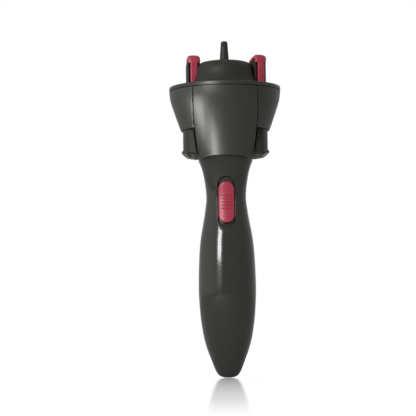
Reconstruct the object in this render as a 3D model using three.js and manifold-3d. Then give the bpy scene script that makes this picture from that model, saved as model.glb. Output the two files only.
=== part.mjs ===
// Cordless hair braider: a grip with a slide switch, and a cone-shaped head with two turning hooks.
// Millimetres. The grip's tip stands at z = 0, the switch faces -Y and the hooks lie along X.
import * as THREE from "three";
import { mergeVertices } from "three/addons/utils/BufferGeometryUtils.js";
import Module from "manifold-3d";

const wasm = await Module();
wasm.setup();

// Clearances
const runGap = 0.3; // between pieces that move past each other, and along a joint line
const seatGap = 0.1; // between pieces that are fixed together
const bury = 0.5; // how far a solid runs into the one that it is joined to

// How finely round shapes are divided
const wideSteps = 36;
const smallSteps = 16;
const fineSteps = 10;

// Grip outline: radius and height of each point that the curve runs through
const gripCurve = [
  [4.8, 0],
  [8.6, 5.2],
  [14.3, 20.8],
  [16.8, 32.6],
  [18.15, 44.3],
  [18.75, 60],
  [17.55, 86],
  [14.15, 106.8],
  [13.05, 118.5],
  [14.95, 132.8],
  [17.9, 142],
];
const gripSteps = 16;
const gripWall = 2;
const gripFloor = 7; // height of the hollow's bottom
const neckTop = 156.3; // the head's heights follow from it

// Switch
const recessWidth = 11.2;
const recessHeight = 33.1;
const recessBottom = 96.7;
const recessTop = recessBottom + recessHeight;
const recessDepth = 2.2;
const recessWall = 1.6;
const buttonWidth = 10.4;
const buttonHeight = 26.8;
const buttonTravel = 2.6; // each way
const buttonEndGap = 0.4; // left below the button at the end of its travel
const buttonBottom = recessBottom + buttonTravel + buttonEndGap;
const buttonTop = buttonBottom + buttonHeight;
const buttonThickness = 2.1;
const buttonRise = 0.9; // how far the button stands out of the grip
const ribCount = 5;
const ribPitch = 2.1;
const ribHeight = 0.9;
const ribRise = 0.6;
const ribWidth = 7;
const ribCentreRise = 13.5; // from the button's lower end
const ribCentre = buttonBottom + ribCentreRise;
const stemWidth = 4;
const stemHeight = 5;
const stemEnd = -7.9; // depth that the button's stem reaches
const switchBodyWidth = 8;
const switchBodyDepth = 4.8;
const switchBodyHeight = 20;
const boardWidth = 16;
const boardThickness = 1.5;
const boardHeight = 25.6;
const boardDrop = 0.7; // below the button's lower end
const boardBottom = buttonBottom - boardDrop;
const boardTop = boardBottom + boardHeight;
const boardRestWidth = 5;
const boardRestReach = 4; // how far a rest starts beyond the board's edge
const boardRestInset = 1;
const boardRestHeight = 2;

// Battery
const cellRadius = 5.25;
const cellLength = 43.5; // without its raised end
const nubRadius = 1.9;
const nubHeight = 1;
const cellOffset = 5.6; // from the middle to each cell's axis
const cellDepth = 3; // how far behind the middle the cells lie
const cellBottom = 38;
const trayWall = 1.2;
const trayRear = 7; // the tray's walls end here
const contactThickness = 0.4;
const contactHeight = 8;
const pairScrewDrop = 5.4; // below the board
const pairScrewHeight = boardBottom - pairScrewDrop;
const doorScrewGap = 3.6; // from those screws to the door
const doorHalfWidth = 12;
const doorBottom = 33;
const doorTop = pairScrewHeight - doorScrewGap;
const trayRibInset = 8; // from the door's lower edge to the lower rib
const trayRibDrop = 11; // from its upper edge to the upper rib
const trayRibHeights = [doorBottom + trayRibInset, doorTop - trayRibDrop];
const ribThickness = 1.6;

// Wires
const wireRadius = 0.6;
const wireSpread = 3; // the two battery wires lie this far off the middle
const motorWireSpread = 6;
const wireOverlap = 4; // how far a wire lies along the board

// Case screws: place across and height, all driven from the rear
const lowScrewHeight = 24;
const pairScrewPlace = 8.6;
const highScrewHeight = 128.3;
const caseScrews = [
  [0, lowScrewHeight],
  [-pairScrewPlace, pairScrewHeight],
  [pairScrewPlace, pairScrewHeight],
  [0, highScrewHeight],
];
const screwRadius = 1.3;
const screwHeadRadius = 2.4;
const screwHeadHeight = 1.6;
const screwBossRadius = 3.3;
const screwHeadDepth = 4; // from the grip's surface to the seat of the head
const screwEnd = -6; // depth that the screw's tip reaches

// Motor
const motorRadius = 10.2;
const motorFlat = 7.7;
const motorLength = 24.5;
const motorBossRadius = 3;
const motorBossHeight = 1.3;
const motorShaftRadius = 1;
const motorShaftDepth = 8; // how far the shaft runs down into the can
const cradleDrops = [20.3, 7.3]; // from the neck's top
const cradleHeights = cradleDrops.map((drop) => neckTop - drop);
const cradleThickness = 2;

// Reduction gears
const reductionModule = 0.5;
const pinionTeeth = 10;
const wheelTeeth = 32;
const gearThickness = 2.5;
const gearSpacing = 0.5; // between the two stages
const pinionRise = 2.2; // from the neck's top
const lowerGearBottom = neckTop + pinionRise;
const lowerGearTop = lowerGearBottom + gearThickness;
const upperGearBottom = lowerGearTop + gearSpacing;
const upperGearTop = upperGearBottom + gearThickness;
const motorShaftTop = lowerGearTop;
const pinRadius = 1;

// Gear chassis
const socketDepth = 13.3; // how far the neck runs into the chassis
const socketBottom = neckTop - socketDepth;
const chassisWall = 2.4;
const chassisFloor = 1.5;
const pocketWall = 1.3;
const chassisTop = upperGearTop + 3 * runGap;
const gearPlateThickness = 1.2;

// Rotor gears
const rotorModule = 0.8;
const sunTeeth = 36;
const planetTeeth = 16;
const planetThickness = 4;
const planetRise = 23.3; // from the neck's top
const planetBottom = neckTop + planetRise;
const planetTop = planetBottom + planetThickness;
const sunBottom = planetBottom + 2 * runGap;
const hookRadius = (rotorModule * (sunTeeth + planetTeeth)) / 2; // 20.8, from the middle to each hook's axis

// Drive shaft and clutch sleeves
const driveShaftRadius = 1.5;
const clutchRadius = 3.3;

// Carrier spider
const hubRadius = 5;
const spiderDrop = 1.4; // below the planets
const spiderTop = planetBottom - spiderDrop;
const spiderThickness = 2;
const spiderArmWidth = 5;
const spiderEndRadius = 1.7;
const pillarOffset = 17.8;
const pillarRadius = 2.2;
const pillarScrewRadius = 0.9;
const pillarScrewHeadRadius = 1.7;
const pillarScrewHeadHeight = 1.2;
const pillarScrewLength = 7;

// Rotor disc, which runs on the track
const trackTop = planetTop + 3 * runGap;
const headRadius = 36.4;
const panelWall = 1.6;
const rimSpigotWidth = 1;
const rimWidth = 5.3;
const rimLip = headRadius - rimWidth;
const discFlangeRadius = headRadius - panelWall - rimSpigotWidth - 3 * runGap;
const discFlangeThickness = 1.3;
const discHeight = 3.3; // with the flange
const discFlangeBottom = trackTop + runGap;
const discFlangeTop = discFlangeBottom + discFlangeThickness;
const discRadius = rimLip - 2 * runGap;
const discTop = discFlangeBottom + discHeight;
const driveShaftTop = discTop - 2 * runGap;
const discWall = 1.5;
const bearingWall = 1.6;

// Drum with the domed top
const drumBottom = discTop + seatGap;
const drumCurve = [
  [24.6, 0],
  [22.9, 2],
  [21.6, 4.2],
  [20.8, 6.1],
  [19.9, 8.8],
  [19.1, 13.7],
  [17, 16.3],
  [15.2, 17.4],
].map(([radius, rise]) => [radius, drumBottom + rise]);
const drumSteps = 10;
const domeRise = 1.7;
const drumTop = drumCurve.at(-1)[1] + domeRise;
const drumWall = 1.4;
const pocketRadius = 8.3;

// Spike
const spikeFlangeRadius = 4.2;
const spikeFlangeHeight = 1.2;
const spikeBaseRadius = 3.1;
const spikeNeckRadius = 2.9;
const spikeTopRadius = 2.15;
const spikeHeight = 12.7;
const spikeTop = drumTop + spikeHeight;
const spikeRound = 1;
const dimpleRadius = 0.8;
const dimpleDrop = 2.7; // from the spike's top to the dimple
const dimpleHeight = spikeTop - dimpleDrop;
const dimpleDepth = 1;

// Spindle posts
const postShaftRadius = 3.5;
const postBaseRadius = 6.2;
const postBaseHeight = 1;
const cheekOuter = 4.2;
const cheekInner = 3;
const cheekFront = -5.6;
const cheekRear = 4.6;
const postRearWall = 1.2;

// Hook clips
const clipFront = -7.3;
const legThickness = 1.4;
const legWidth = 4.7;
const legHeight = 15.5;
const legRise = 1.6; // above the disc
const legBottom = discTop + legRise;
const capWidth = 8.4;
const capRearWidth = 6;
const capRear = 7;
const capCorner = 1;
const capSkirt = legBottom + legHeight;
const browHeight = 5.2;
const capPeak = capSkirt + browHeight;
const capPeakPlace = -4.2;
const capRearDrop = 4.4; // how much lower the cap ends than its peak
const capRearTop = capPeak - capRearDrop;
const capThickness = 2.7;
const capCrown = 1.5; // bevel along the cap's two upper edges
const blockFront = -1.2;
const blockRear = 3;
const blockWidth = 5.2;
const blockRise = 0.4; // above the leg's end
const blockBottom = legBottom + blockRise;
const leftSpin = 8; // degrees
const rightSpin = 29;

// Lift rods, springs and ring
const rodRadius = 0.95;
const rodFlangeRadius = 2.2;
const rodFlangeHeight = 1;
const rodReach = 12.9; // above the disc
const rodTop = discTop + rodReach;
const springRadius = 1.7;
const springWire = 0.45; // diameter
const springTurns = 4;
const liftRingInner = 19.8;
const liftRingOuter = 24.2;
const liftRingRise = 1.9; // above the gear pocket
const liftRingBottom = chassisTop + liftRingRise;
const liftRingThickness = 2;

// Cone panels and side covers
const coverRise = 4.5; // how far the side covers end above the neck's top
const coverRadius = 29; // the cone's radius there
const coneLip = 2; // how far the cone stands over the track
const coneCurve = [
  [21.9, -16.3],
  [24.9, -6.8],
  [coverRadius, coverRise],
  [31.9, 12.7],
  [35.4, 23.4],
].map(([radius, rise]) => [radius, neckTop + rise]);
coneCurve.push([headRadius, trackTop + coneLip]);
const coneSteps = 8;
const skirtDrop = 13.5; // how far the panels hang below the neck's top
const panelBottom = neckTop - skirtDrop;
const panelArch = 1.9; // how much lower the panel's corners hang than its middle
const panelCorner = 17.6; // half the panel's width at its bottom
const panelShoulder = 20.7; // half the panel's width from seamHeight up
const shoulderRise = 0.5; // above the lift ring's lower face
const seamHeight = liftRingBottom + shoulderRise;
const panelRibPlace = 8;
const panelRibDrop = 0.7; // below the gear pocket's edge
const panelRibTop = chassisTop - panelRibDrop;
const coverWall = 1;
const coverBottom = neckTop + coverRise;
const tongueReach = 2;
const tongueDrop = 2.7; // below the track's face
const tongueTop = trackTop - tongueDrop;

// Rotor track and rim ring
const trackWidth = 3.35;
const trackThickness = 2.2;
const rimRound = 0.5;
const rimArcSteps = 4;
const rimLipThickness = 2.9;
const rimRise = 1.2; // how far the rim stands over the disc
const rimTop = discTop + rimRise;

// Side levers
const leverRadius = coverRadius - coverWall - runGap;
const leverEdge = 13.2; // half the width of the lever's round face
const leverWall = 1.6;
const wingInner = 17.9; // the wing's edge beside the panel
const wingDepth = 15.6;
const leverDrop = 0.8; // below the panels' shoulders
const leverTop = seamHeight - leverDrop;
const liftTravel = 5;
const shelfThickness = 2;
const lipDepth = 10; // below the neck's top
const lipBottom = neckTop - lipDepth;
const lipDrop = 0.0125; // how fast the lip hangs down towards the wings, per millimetre squared
const lipHeight = 1.6;
const lipReach = 1;

// Materials
function material(color, roughness, metalness) {
  return new THREE.MeshStandardMaterial({ color, roughness, metalness });
}
const gripBlack = material("#33322e", 0.15, 0);
const headBlack = material("#383733", 0.38, 0);
const innerBlack = material("#232321", 0.6, 0);
const crimson = material("#9f4050", 0.35, 0);
const gearWhite = material("#e4e0d4", 0.5, 0);
const steel = material("#b4b6b8", 0.3, 1);
const brass = material("#b08d4a", 0.35, 1);
const boardGreen = material("#2f5c3a", 0.5, 0);
const cellJacket = material("#8c8f93", 0.3, 0.7);
const wireRed = material("#9c2620", 0.45, 0);
const wireBlack = material("#1c1c1c", 0.45, 0);

// A closed geometry as a solid whose faces point outwards
function solid(geometry) {
  const bare = geometry.clone();
  bare.deleteAttribute("normal");
  bare.deleteAttribute("uv");
  const merged = mergeVertices(bare, 1e-4);
  const corners = [];
  for (let i = 0; i < merged.index.count; i += 3) {
    const [a, b, c] = [0, 1, 2].map((k) => merged.index.getX(i + k));
    if (a !== b && b !== c && c !== a) corners.push(a, b, c);
  }
  const closed = (list) =>
    new wasm.Manifold(
      new wasm.Mesh({
        numProp: 3,
        vertProperties: merged.attributes.position.array,
        triVerts: new Uint32Array(list),
      }),
    );
  const made = closed(corners);
  return made.volume() < 0 ? closed(corners.reverse()) : made;
}

// A solid of revolution about Z from [radius, height] points
function lathe(points, steps = wideSteps) {
  const profile = points.map(([radius, height]) => new THREE.Vector2(radius, height));
  return solid(new THREE.LatheGeometry(profile, steps).rotateX(Math.PI / 2));
}

// An upright round bar
function bar(radius, bottom, top, x = 0, y = 0, steps = smallSteps) {
  const height = top - bottom;
  return solid(
    new THREE.CylinderGeometry(radius, radius, height, steps)
      .rotateX(Math.PI / 2)
      .translate(x, y, bottom + height / 2),
  );
}

// A round bar that lies along Y
function barAlongY(radius, front, rear, x, z, steps = fineSteps) {
  const length = rear - front;
  return solid(new THREE.CylinderGeometry(radius, radius, length, steps).translate(x, front + length / 2, z));
}

// A round ring between two radii and two heights
function ring(inner, outer, bottom, top, steps = wideSteps) {
  return lathe(
    [
      [inner, bottom],
      [outer, bottom],
      [outer, top],
      [inner, top],
      [inner, bottom],
    ],
    steps,
  );
}

function box(x0, x1, y0, y1, z0, z1) {
  return solid(
    new THREE.BoxGeometry(x1 - x0, y1 - y0, z1 - z0).translate((x0 + x1) / 2, (y0 + y1) / 2, (z0 + z1) / 2),
  );
}

function extruded(outline, depth) {
  const shape = new THREE.Shape(outline.map(([a, b]) => new THREE.Vector2(a, b)));
  return new THREE.ExtrudeGeometry(shape, { depth, bevelEnabled: false });
}

// Prisms with their outline seen from above, from the front and from the side
function prismUp(outline, bottom, top) {
  return solid(extruded(outline, top - bottom).translate(0, 0, bottom));
}
function prismAlongY(outline, front, rear) {
  return solid(
    extruded(outline, rear - front)
      .rotateX(Math.PI / 2)
      .translate(0, rear, 0),
  );
}
function prismAlongX(outline, left, right) {
  const turn = new THREE.Matrix4().makeBasis(
    new THREE.Vector3(0, 1, 0),
    new THREE.Vector3(0, 0, 1),
    new THREE.Vector3(1, 0, 0),
  );
  return solid(
    extruded(outline, right - left)
      .applyMatrix4(turn)
      .translate(left, 0, 0),
  );
}

// An upright oval with straight sides, as [across, height] points
function stadium(width, bottom, top, arcSteps = 8) {
  const radius = width / 2;
  const points = [];
  for (const [centre, start] of [
    [top - radius, 0],
    [bottom + radius, Math.PI],
  ]) {
    for (let i = 0; i <= arcSteps; i++) {
      const angle = start + (Math.PI * i) / arcSteps;
      points.push([radius * Math.cos(angle), centre + radius * Math.sin(angle)]);
    }
  }
  return points;
}

// A spur gear with straight-sided teeth: one tooth points along +X when phase is 0
function gear(teeth, module, bore, bottom, top, phase = 0) {
  const pitch = (2 * Math.PI) / teeth;
  const middle = (teeth * module) / 2;
  const tip = middle + 0.8 * module;
  const root = middle - 1.1 * module;
  const outline = [];
  for (let i = 0; i < teeth; i++) {
    const centre = phase + i * pitch;
    for (const [radius, share] of [
      [root, -0.28],
      [tip, -0.11],
      [tip, 0.11],
      [root, 0.28],
    ]) {
      const angle = centre + share * pitch;
      outline.push([radius * Math.cos(angle), radius * Math.sin(angle)]);
    }
  }
  return prismUp(outline, bottom, top).subtract(bar(bore, bottom - 1, top + 1));
}

// A smooth curve's points between hand-set [radius, height] stations
function smooth(stations, steps) {
  const curve = new THREE.SplineCurve(stations.map(([a, b]) => new THREE.Vector2(a, b)));
  return curve.getPoints(steps).map((p) => [p.x, p.y]);
}

// The radius of a profile at one height, between its two nearest points
function radiusAt(profile, height) {
  const next = Math.max(
    1,
    profile.findIndex(([, z]) => z >= height),
  );
  const [r0, z0] = profile[next - 1];
  const [r1, z1] = profile[next];
  return r0 + ((r1 - r0) * (height - z0)) / (z1 - z0);
}

const group = new THREE.Group();
group.name = "hair_braider";

function add(parent, name, made, look) {
  const { vertProperties, triVerts } = made.getMesh();
  const geometry = new THREE.BufferGeometry();
  geometry.setAttribute("position", new THREE.BufferAttribute(vertProperties, 3));
  geometry.setIndex(new THREE.BufferAttribute(triVerts, 1));
  geometry.computeVertexNormals();
  const mesh = new THREE.Mesh(geometry, look);
  mesh.name = name;
  parent.add(mesh);
}

// Grip: its outline, and the solid of revolution that lies a given depth under the surface
const gripProfile = smooth(gripCurve, gripSteps);
const neckRadius = gripCurve.at(-1)[0];

function gripSolid(depth, bottom = 0) {
  const side = gripProfile.filter(([, z]) => z > bottom);
  const start = [radiusAt(gripProfile, bottom) - depth, bottom];
  const points = [start, ...side.map(([r, z]) => [r - depth, z])];
  return lathe([[0, bottom], ...points, [neckRadius - depth, neckTop], [0, neckTop]]);
}

// The hollow inside the shells follows every second point of the outline
function gripHollowSolid() {
  const side = gripProfile.filter(([, z], i) => z > gripFloor && i % 2 === 0);
  const start = [radiusAt(gripProfile, gripFloor) - gripWall, gripFloor];
  const points = [start, ...side.map(([r, z]) => [r - gripWall, z])];
  const hollowTop = neckTop + 1;
  const profile = [[0, gripFloor], ...points, [neckRadius - gripWall, hollowTop], [0, hollowTop]];
  return lathe(profile, smallSteps);
}

const gripOuter = gripSolid(0);
const gripHollow = gripHollowSolid();
const far = 60; // beyond the widest piece
const above = 240; // over the top of the whole
const frontHalf = box(-far, far, -far, -seatGap / 2, -1, neckTop + 1);
const rearHalf = box(-far, far, seatGap / 2, far, -1, neckTop + 1);

// The motor lies in round webs, and the screws in bosses, inside both shells
const motorBottom = neckTop - motorLength;
let inside = cradleHeights
  .map((z) =>
    ring(motorRadius + seatGap, neckRadius, z, z + cradleThickness).intersect(gripSolid(gripWall / 2)),
  )
  .reduce((all, web) => all.add(web));
for (const [x, z] of caseScrews) {
  const boss = barAlongY(screwBossRadius, -far, far, x, z);
  inside = inside.add(boss.intersect(gripSolid(gripWall / 2, gripFloor - 1)));
}

// Recess with its floor, and the slot that the button's stem runs in
const recessShape = stadium(recessWidth, recessBottom, recessTop);
const recess = prismAlongY(recessShape, -far, 0).subtract(gripSolid(recessDepth));
const recessBack = prismAlongY(
  stadium(recessWidth + 2 * gripWall, recessBottom - gripWall, recessTop + gripWall),
  -far,
  0,
)
  .intersect(gripSolid(gripWall / 2))
  .subtract(gripSolid(recessDepth + recessWall));
const stemMiddle = (buttonBottom + buttonTop) / 2;
const slotHalfHeight = stemHeight / 2 + buttonTravel + runGap;
const stemSlot = box(
  -stemWidth / 2 - runGap,
  stemWidth / 2 + runGap,
  -far,
  0,
  stemMiddle - slotHalfHeight,
  stemMiddle + slotHalfHeight,
);

// Board and switch body behind the recess, on two pairs of rests in the front shell
const switchFront = stemEnd + runGap;
const boardFront = switchFront + switchBodyDepth + seatGap;
const boardRests = [-1, 1]
  .flatMap((side) =>
    [boardBottom + boardRestInset, boardTop - boardRestInset - boardRestHeight].map((z) => {
      const outer = side * (boardWidth / 2 + boardRestReach);
      const inner = outer - side * boardRestWidth;
      const [left, right] = [outer, inner].sort((a, b) => a - b);
      return box(left, right, -far, boardFront - seatGap, z, z + boardRestHeight);
    }),
  )
  .reduce((all, rest) => all.add(rest))
  .intersect(gripSolid(gripWall / 2));

// Two ribs in the front shell carry the battery tray
const trayFront = cellDepth - cellRadius - seatGap - trayWall;
const trayRibs = trayRibHeights
  .map((z) => box(-ribThickness / 2, ribThickness / 2, -far, trayFront - seatGap, z, z + 2 * ribThickness))
  .reduce((all, rib) => all.add(rib))
  .intersect(gripSolid(gripWall / 2));

// Screw holes: a wide one for the head and a clearance hole in the rear, a tight one in the front
function screwSeat([x, z]) {
  return Math.sqrt(radiusAt(gripProfile, z) ** 2 - x ** 2) - screwHeadDepth;
}
function cutScrewHoles(shell) {
  return caseScrews.reduce(
    (left, screw) =>
      left
        .subtract(barAlongY(screwHeadRadius + runGap, screwSeat(screw), far, ...screw))
        .subtract(barAlongY(screwRadius + runGap, 0, far, ...screw))
        .subtract(barAlongY(screwRadius + seatGap, screwEnd - seatGap, 1, ...screw)),
    shell,
  );
}

const gripShell = gripOuter.subtract(gripHollow).add(inside);
const recessed = gripShell.add(recessBack).subtract(recess).subtract(stemSlot);
const frontShell = recessed.add(boardRests).add(trayRibs);
add(group, "handle_front", cutScrewHoles(frontShell.intersect(frontHalf)), gripBlack);

const doorCut = (gap) =>
  box(-doorHalfWidth - gap, doorHalfWidth + gap, 1, far, doorBottom - gap, doorTop + gap);
add(
  group,
  "handle_rear",
  cutScrewHoles(gripShell.intersect(rearHalf).subtract(doorCut(runGap / 2))),
  gripBlack,
);
add(
  group,
  "battery_door",
  gripOuter.subtract(gripHollow).intersect(doorCut(-runGap / 2)),
  gripBlack,
);

caseScrews.forEach((screw, i) => {
  const seat = screwSeat(screw) + seatGap;
  const shank = barAlongY(screwRadius, screwEnd, seat + seatGap, ...screw);
  const head = barAlongY(screwHeadRadius, seat, seat + screwHeadHeight, ...screw);
  add(group, `case_screw_${i + 1}`, shank.add(head), steel);
});

// Button: a slice of the grip's own shape, with ribs and the stem behind it
const buttonShape = prismAlongY(stadium(buttonWidth, buttonBottom, buttonTop), -far, 0);
const buttonSkin = gripSolid(-buttonRise).subtract(gripSolid(buttonThickness - buttonRise));
const buttonRibs = Array.from({ length: ribCount }, (_, i) => {
  const z = ribCentre + (i - (ribCount - 1) / 2) * ribPitch;
  return box(-ribWidth / 2, ribWidth / 2, -far, 0, z - ribHeight / 2, z + ribHeight / 2);
})
  .reduce((all, rib) => all.add(rib))
  .intersect(gripSolid(-buttonRise - ribRise).subtract(gripSolid(0)));
const stem = box(
  -stemWidth / 2,
  stemWidth / 2,
  -radiusAt(gripProfile, stemMiddle),
  stemEnd,
  stemMiddle - stemHeight / 2,
  stemMiddle + stemHeight / 2,
);
add(group, "switch_button", buttonShape.intersect(buttonSkin).add(buttonRibs).add(stem), crimson);

add(
  group,
  "slide_switch",
  box(
    -switchBodyWidth / 2,
    switchBodyWidth / 2,
    switchFront,
    switchFront + switchBodyDepth,
    stemMiddle - switchBodyHeight / 2,
    stemMiddle + switchBodyHeight / 2,
  ),
  innerBlack,
);
add(
  group,
  "switch_board",
  box(-boardWidth / 2, boardWidth / 2, boardFront, boardFront + boardThickness, boardBottom, boardTop),
  boardGreen,
);

// Battery tray, cells and contacts
const lowerContactTop = cellBottom - seatGap;
const lowerContactBottom = lowerContactTop - contactThickness;
const cellTop = cellBottom + cellLength + nubHeight;
const upperContactBottom = cellTop + seatGap;
const upperContactTop = upperContactBottom + contactThickness;
const trayHalfWidth = cellOffset + cellRadius + seatGap + trayWall;
const trayBottom = lowerContactBottom - seatGap - trayWall;
const trayTop = upperContactTop + seatGap + trayWall;
const wireHoles = [-wireSpread, wireSpread]
  .map((x) => bar(wireRadius + runGap, trayTop - 2 * trayWall, trayTop + 1, x, cellDepth))
  .reduce((all, hole) => all.add(hole));
const tray = box(-trayHalfWidth, trayHalfWidth, trayFront, trayRear, trayBottom, trayTop)
  .subtract(
    box(
      -trayHalfWidth + trayWall,
      trayHalfWidth - trayWall,
      trayFront + trayWall,
      far,
      trayBottom + trayWall,
      trayTop - trayWall,
    ),
  )
  .subtract(wireHoles);
add(group, "battery_tray", tray, innerBlack);

for (const [name, side] of [
  ["left", -1],
  ["right", 1],
]) {
  const x = side * cellOffset;
  const upright = side < 0;
  const canBottom = upright ? cellBottom : cellBottom + nubHeight;
  const can = bar(cellRadius, canBottom, canBottom + cellLength, x, cellDepth);
  const nub = upright
    ? bar(nubRadius, canBottom + cellLength - 1, cellTop, x, cellDepth)
    : bar(nubRadius, cellBottom, canBottom + 1, x, cellDepth);
  add(group, `cell_${name}`, can.add(nub), cellJacket);
  const contact = box(
    Math.min(side, x + side * contactHeight / 2),
    Math.max(side, x + side * contactHeight / 2),
    cellDepth - contactHeight / 2,
    cellDepth + contactHeight / 2,
    upperContactBottom,
    upperContactTop,
  );
  add(group, `contact_top_${name}`, contact, steel);
}
add(
  group,
  "contact_bottom",
  box(
    -cellOffset - contactHeight / 2,
    cellOffset + contactHeight / 2,
    cellDepth - contactHeight / 2,
    cellDepth + contactHeight / 2,
    lowerContactBottom,
    lowerContactTop,
  ),
  steel,
);

// Wires: from the upper contacts to the board, and from the board to the motor
function wire(name, points, look) {
  const path = new THREE.CatmullRomCurve3(points.map((p) => new THREE.Vector3(...p)));
  const section = new THREE.Shape().absarc(0, 0, wireRadius, 0, 2 * Math.PI);
  const tube = new THREE.ExtrudeGeometry(section, {
    steps: 6,
    curveSegments: 4,
    extrudePath: path,
    bevelEnabled: false,
  });
  add(group, name, solid(tube), look);
}
const boardRear = boardFront + boardThickness;
for (const [name, side, look] of [
  ["left", -1, wireRed],
  ["right", 1, wireBlack],
]) {
  const x = side * wireSpread;
  const y = boardRear + wireRadius + seatGap;
  wire(
    `wire_battery_${name}`,
    [
      [x, cellDepth, upperContactTop + seatGap],
      [x, cellDepth, trayTop + wireOverlap],
      [x, y, boardBottom],
      [x, y, boardBottom + wireOverlap],
    ],
    look,
  );
  wire(
    `wire_motor_${name}`,
    [
      [side * motorWireSpread, y, boardTop - wireOverlap],
      [side * motorWireSpread, y, boardTop],
      [side * motorWireSpread, y + wireRadius, motorBottom - seatGap],
    ],
    look,
  );
}

// Motor, its shaft and the pinion
const motorTop = neckTop;
const motorCan = bar(motorRadius, motorBottom, motorTop, 0, 0, wideSteps)
  .intersect(box(-far, far, -motorFlat, motorFlat, motorBottom - 1, motorTop + 1))
  .add(bar(motorBossRadius, motorTop - 1, motorTop + motorBossHeight))
  .subtract(bar(motorShaftRadius + seatGap, motorTop - motorShaftDepth, above));
add(group, "motor", motorCan, steel);
add(group, "motor_shaft", bar(motorShaftRadius, motorTop - motorShaftDepth + seatGap, motorShaftTop), steel);
const wheelPlace = (reductionModule * (pinionTeeth + wheelTeeth)) / 2;
add(
  group,
  "motor_pinion",
  gear(pinionTeeth, reductionModule, motorShaftRadius + seatGap, lowerGearBottom, lowerGearTop),
  brass,
);

// Chassis: the neck's socket below its floor, the gear pocket above it
const socketRadius = neckRadius + runGap;
const chassisRadius = socketRadius + chassisWall;
const chassisFloorBottom = neckTop + 2 * seatGap;
const chassisFloorTop = chassisFloorBottom + chassisFloor;
const pinHole = bar(pinRadius + seatGap, chassisFloorBottom - 1, above, 0, wheelPlace);
const chassis = lathe([
  [socketRadius, socketBottom],
  [chassisRadius, socketBottom],
  [chassisRadius, chassisTop],
  [chassisRadius - pocketWall, chassisTop],
  [chassisRadius - pocketWall, chassisFloorTop],
  [motorBossRadius + runGap, chassisFloorTop],
  [motorBossRadius + runGap, chassisFloorBottom],
  [socketRadius, chassisFloorBottom],
  [socketRadius, socketBottom],
]);
add(group, "gear_chassis", chassis.subtract(pinHole), innerBlack);

const gearPlateBottom = chassisTop + seatGap;
const gearPlateTop = gearPlateBottom + gearPlateThickness;
add(
  group,
  "gear_plate",
  ring(driveShaftRadius + runGap, chassisRadius, gearPlateBottom, gearPlateTop).subtract(pinHole),
  innerBlack,
);
add(group, "compound_pin", bar(pinRadius, chassisFloorBottom, gearPlateTop, 0, wheelPlace), steel);

const pinBore = pinRadius + 2 * seatGap;
const compound = gear(wheelTeeth, reductionModule, pinBore, lowerGearBottom, lowerGearTop).add(
  gear(pinionTeeth, reductionModule, pinBore, lowerGearTop - bury, upperGearTop),
);
const compoundNode = new THREE.Group();
compoundNode.position.set(0, wheelPlace, 0);
group.add(compoundNode);
add(compoundNode, "compound_gear", compound, gearWhite);
add(
  group,
  "drive_gear",
  gear(wheelTeeth, reductionModule, driveShaftRadius + seatGap, upperGearBottom, upperGearTop).add(
    ring(driveShaftRadius + seatGap, hubRadius, upperGearTop - bury, gearPlateBottom - runGap, smallSteps),
  ),
  gearWhite,
);
add(group, "drive_shaft", bar(driveShaftRadius, upperGearBottom, driveShaftTop), steel);

// Rotor: carrier spider, clutch sleeves, sun gear, disc, drum and spike
const hubBottom = gearPlateTop + runGap;
const hubTop = sunBottom - runGap;
const spiderBottom = spiderTop - spiderThickness;
const pillars = [-pillarOffset, pillarOffset];
const arm = box(
  -spiderArmWidth / 2,
  spiderArmWidth / 2,
  -pillarOffset,
  pillarOffset,
  spiderBottom,
  spiderTop,
);
let spider = bar(hubRadius, hubBottom, hubTop).add(arm);
for (const y of pillars) {
  spider = spider
    .add(bar(spiderEndRadius, spiderBottom, spiderTop, 0, y))
    .subtract(bar(pillarScrewRadius + seatGap, spiderBottom - 1, spiderTop + 1, 0, y));
}
spider = spider.subtract(bar(clutchRadius + seatGap, hubBottom - 1, hubTop + 1));
add(group, "carrier_spider", spider, innerBlack);
const sleeveBore = driveShaftRadius + seatGap;
add(group, "carrier_clutch", ring(sleeveBore, clutchRadius, hubBottom, hubTop, smallSteps), steel);
add(group, "sun_clutch", ring(sleeveBore, clutchRadius, sunBottom, planetTop, smallSteps), steel);
add(
  group,
  "sun_gear",
  gear(sunTeeth, rotorModule, clutchRadius + seatGap, sunBottom, planetTop),
  gearWhite,
);

const bearingBottom = planetTop + runGap;
const discPlateBottom = discTop - discWall;
let disc = lathe([
  [0, discPlateBottom],
  [discRadius - discWall, discPlateBottom],
  [discRadius - discWall, discFlangeBottom],
  [discFlangeRadius, discFlangeBottom],
  [discFlangeRadius, discFlangeTop],
  [discRadius, discFlangeTop],
  [discRadius, discTop],
  [0, discTop],
]).add(bar(hubRadius, discFlangeBottom, discTop - bury));
for (const y of pillars) {
  disc = disc
    .add(bar(pillarRadius, spiderTop + seatGap, discTop - bury, 0, y))
    .subtract(bar(pillarScrewRadius + seatGap, spiderTop, spiderTop + pillarScrewLength, 0, y, fineSteps));
}
const bearingBore = postShaftRadius + runGap;
for (const x of [-hookRadius, hookRadius]) {
  disc = disc
    .add(bar(bearingBore + bearingWall, bearingBottom, discTop - bury, x))
    .subtract(bar(bearingBore, bearingBottom - 1, discTop + 1, x));
}
disc = disc.subtract(bar(driveShaftRadius + runGap, discFlangeBottom - 1, driveShaftTop + runGap));
add(group, "rotor_disc", disc, headBlack);

pillars.forEach((y, i) => {
  const headTop = spiderBottom - seatGap;
  const screw = bar(pillarScrewHeadRadius, headTop - pillarScrewHeadHeight, headTop, 0, y, fineSteps).add(
    bar(pillarScrewRadius, headTop - bury, headTop + pillarScrewLength, 0, y, fineSteps),
  );
  add(group, `spider_screw_${i + 1}`, screw, steel);
});

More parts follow.
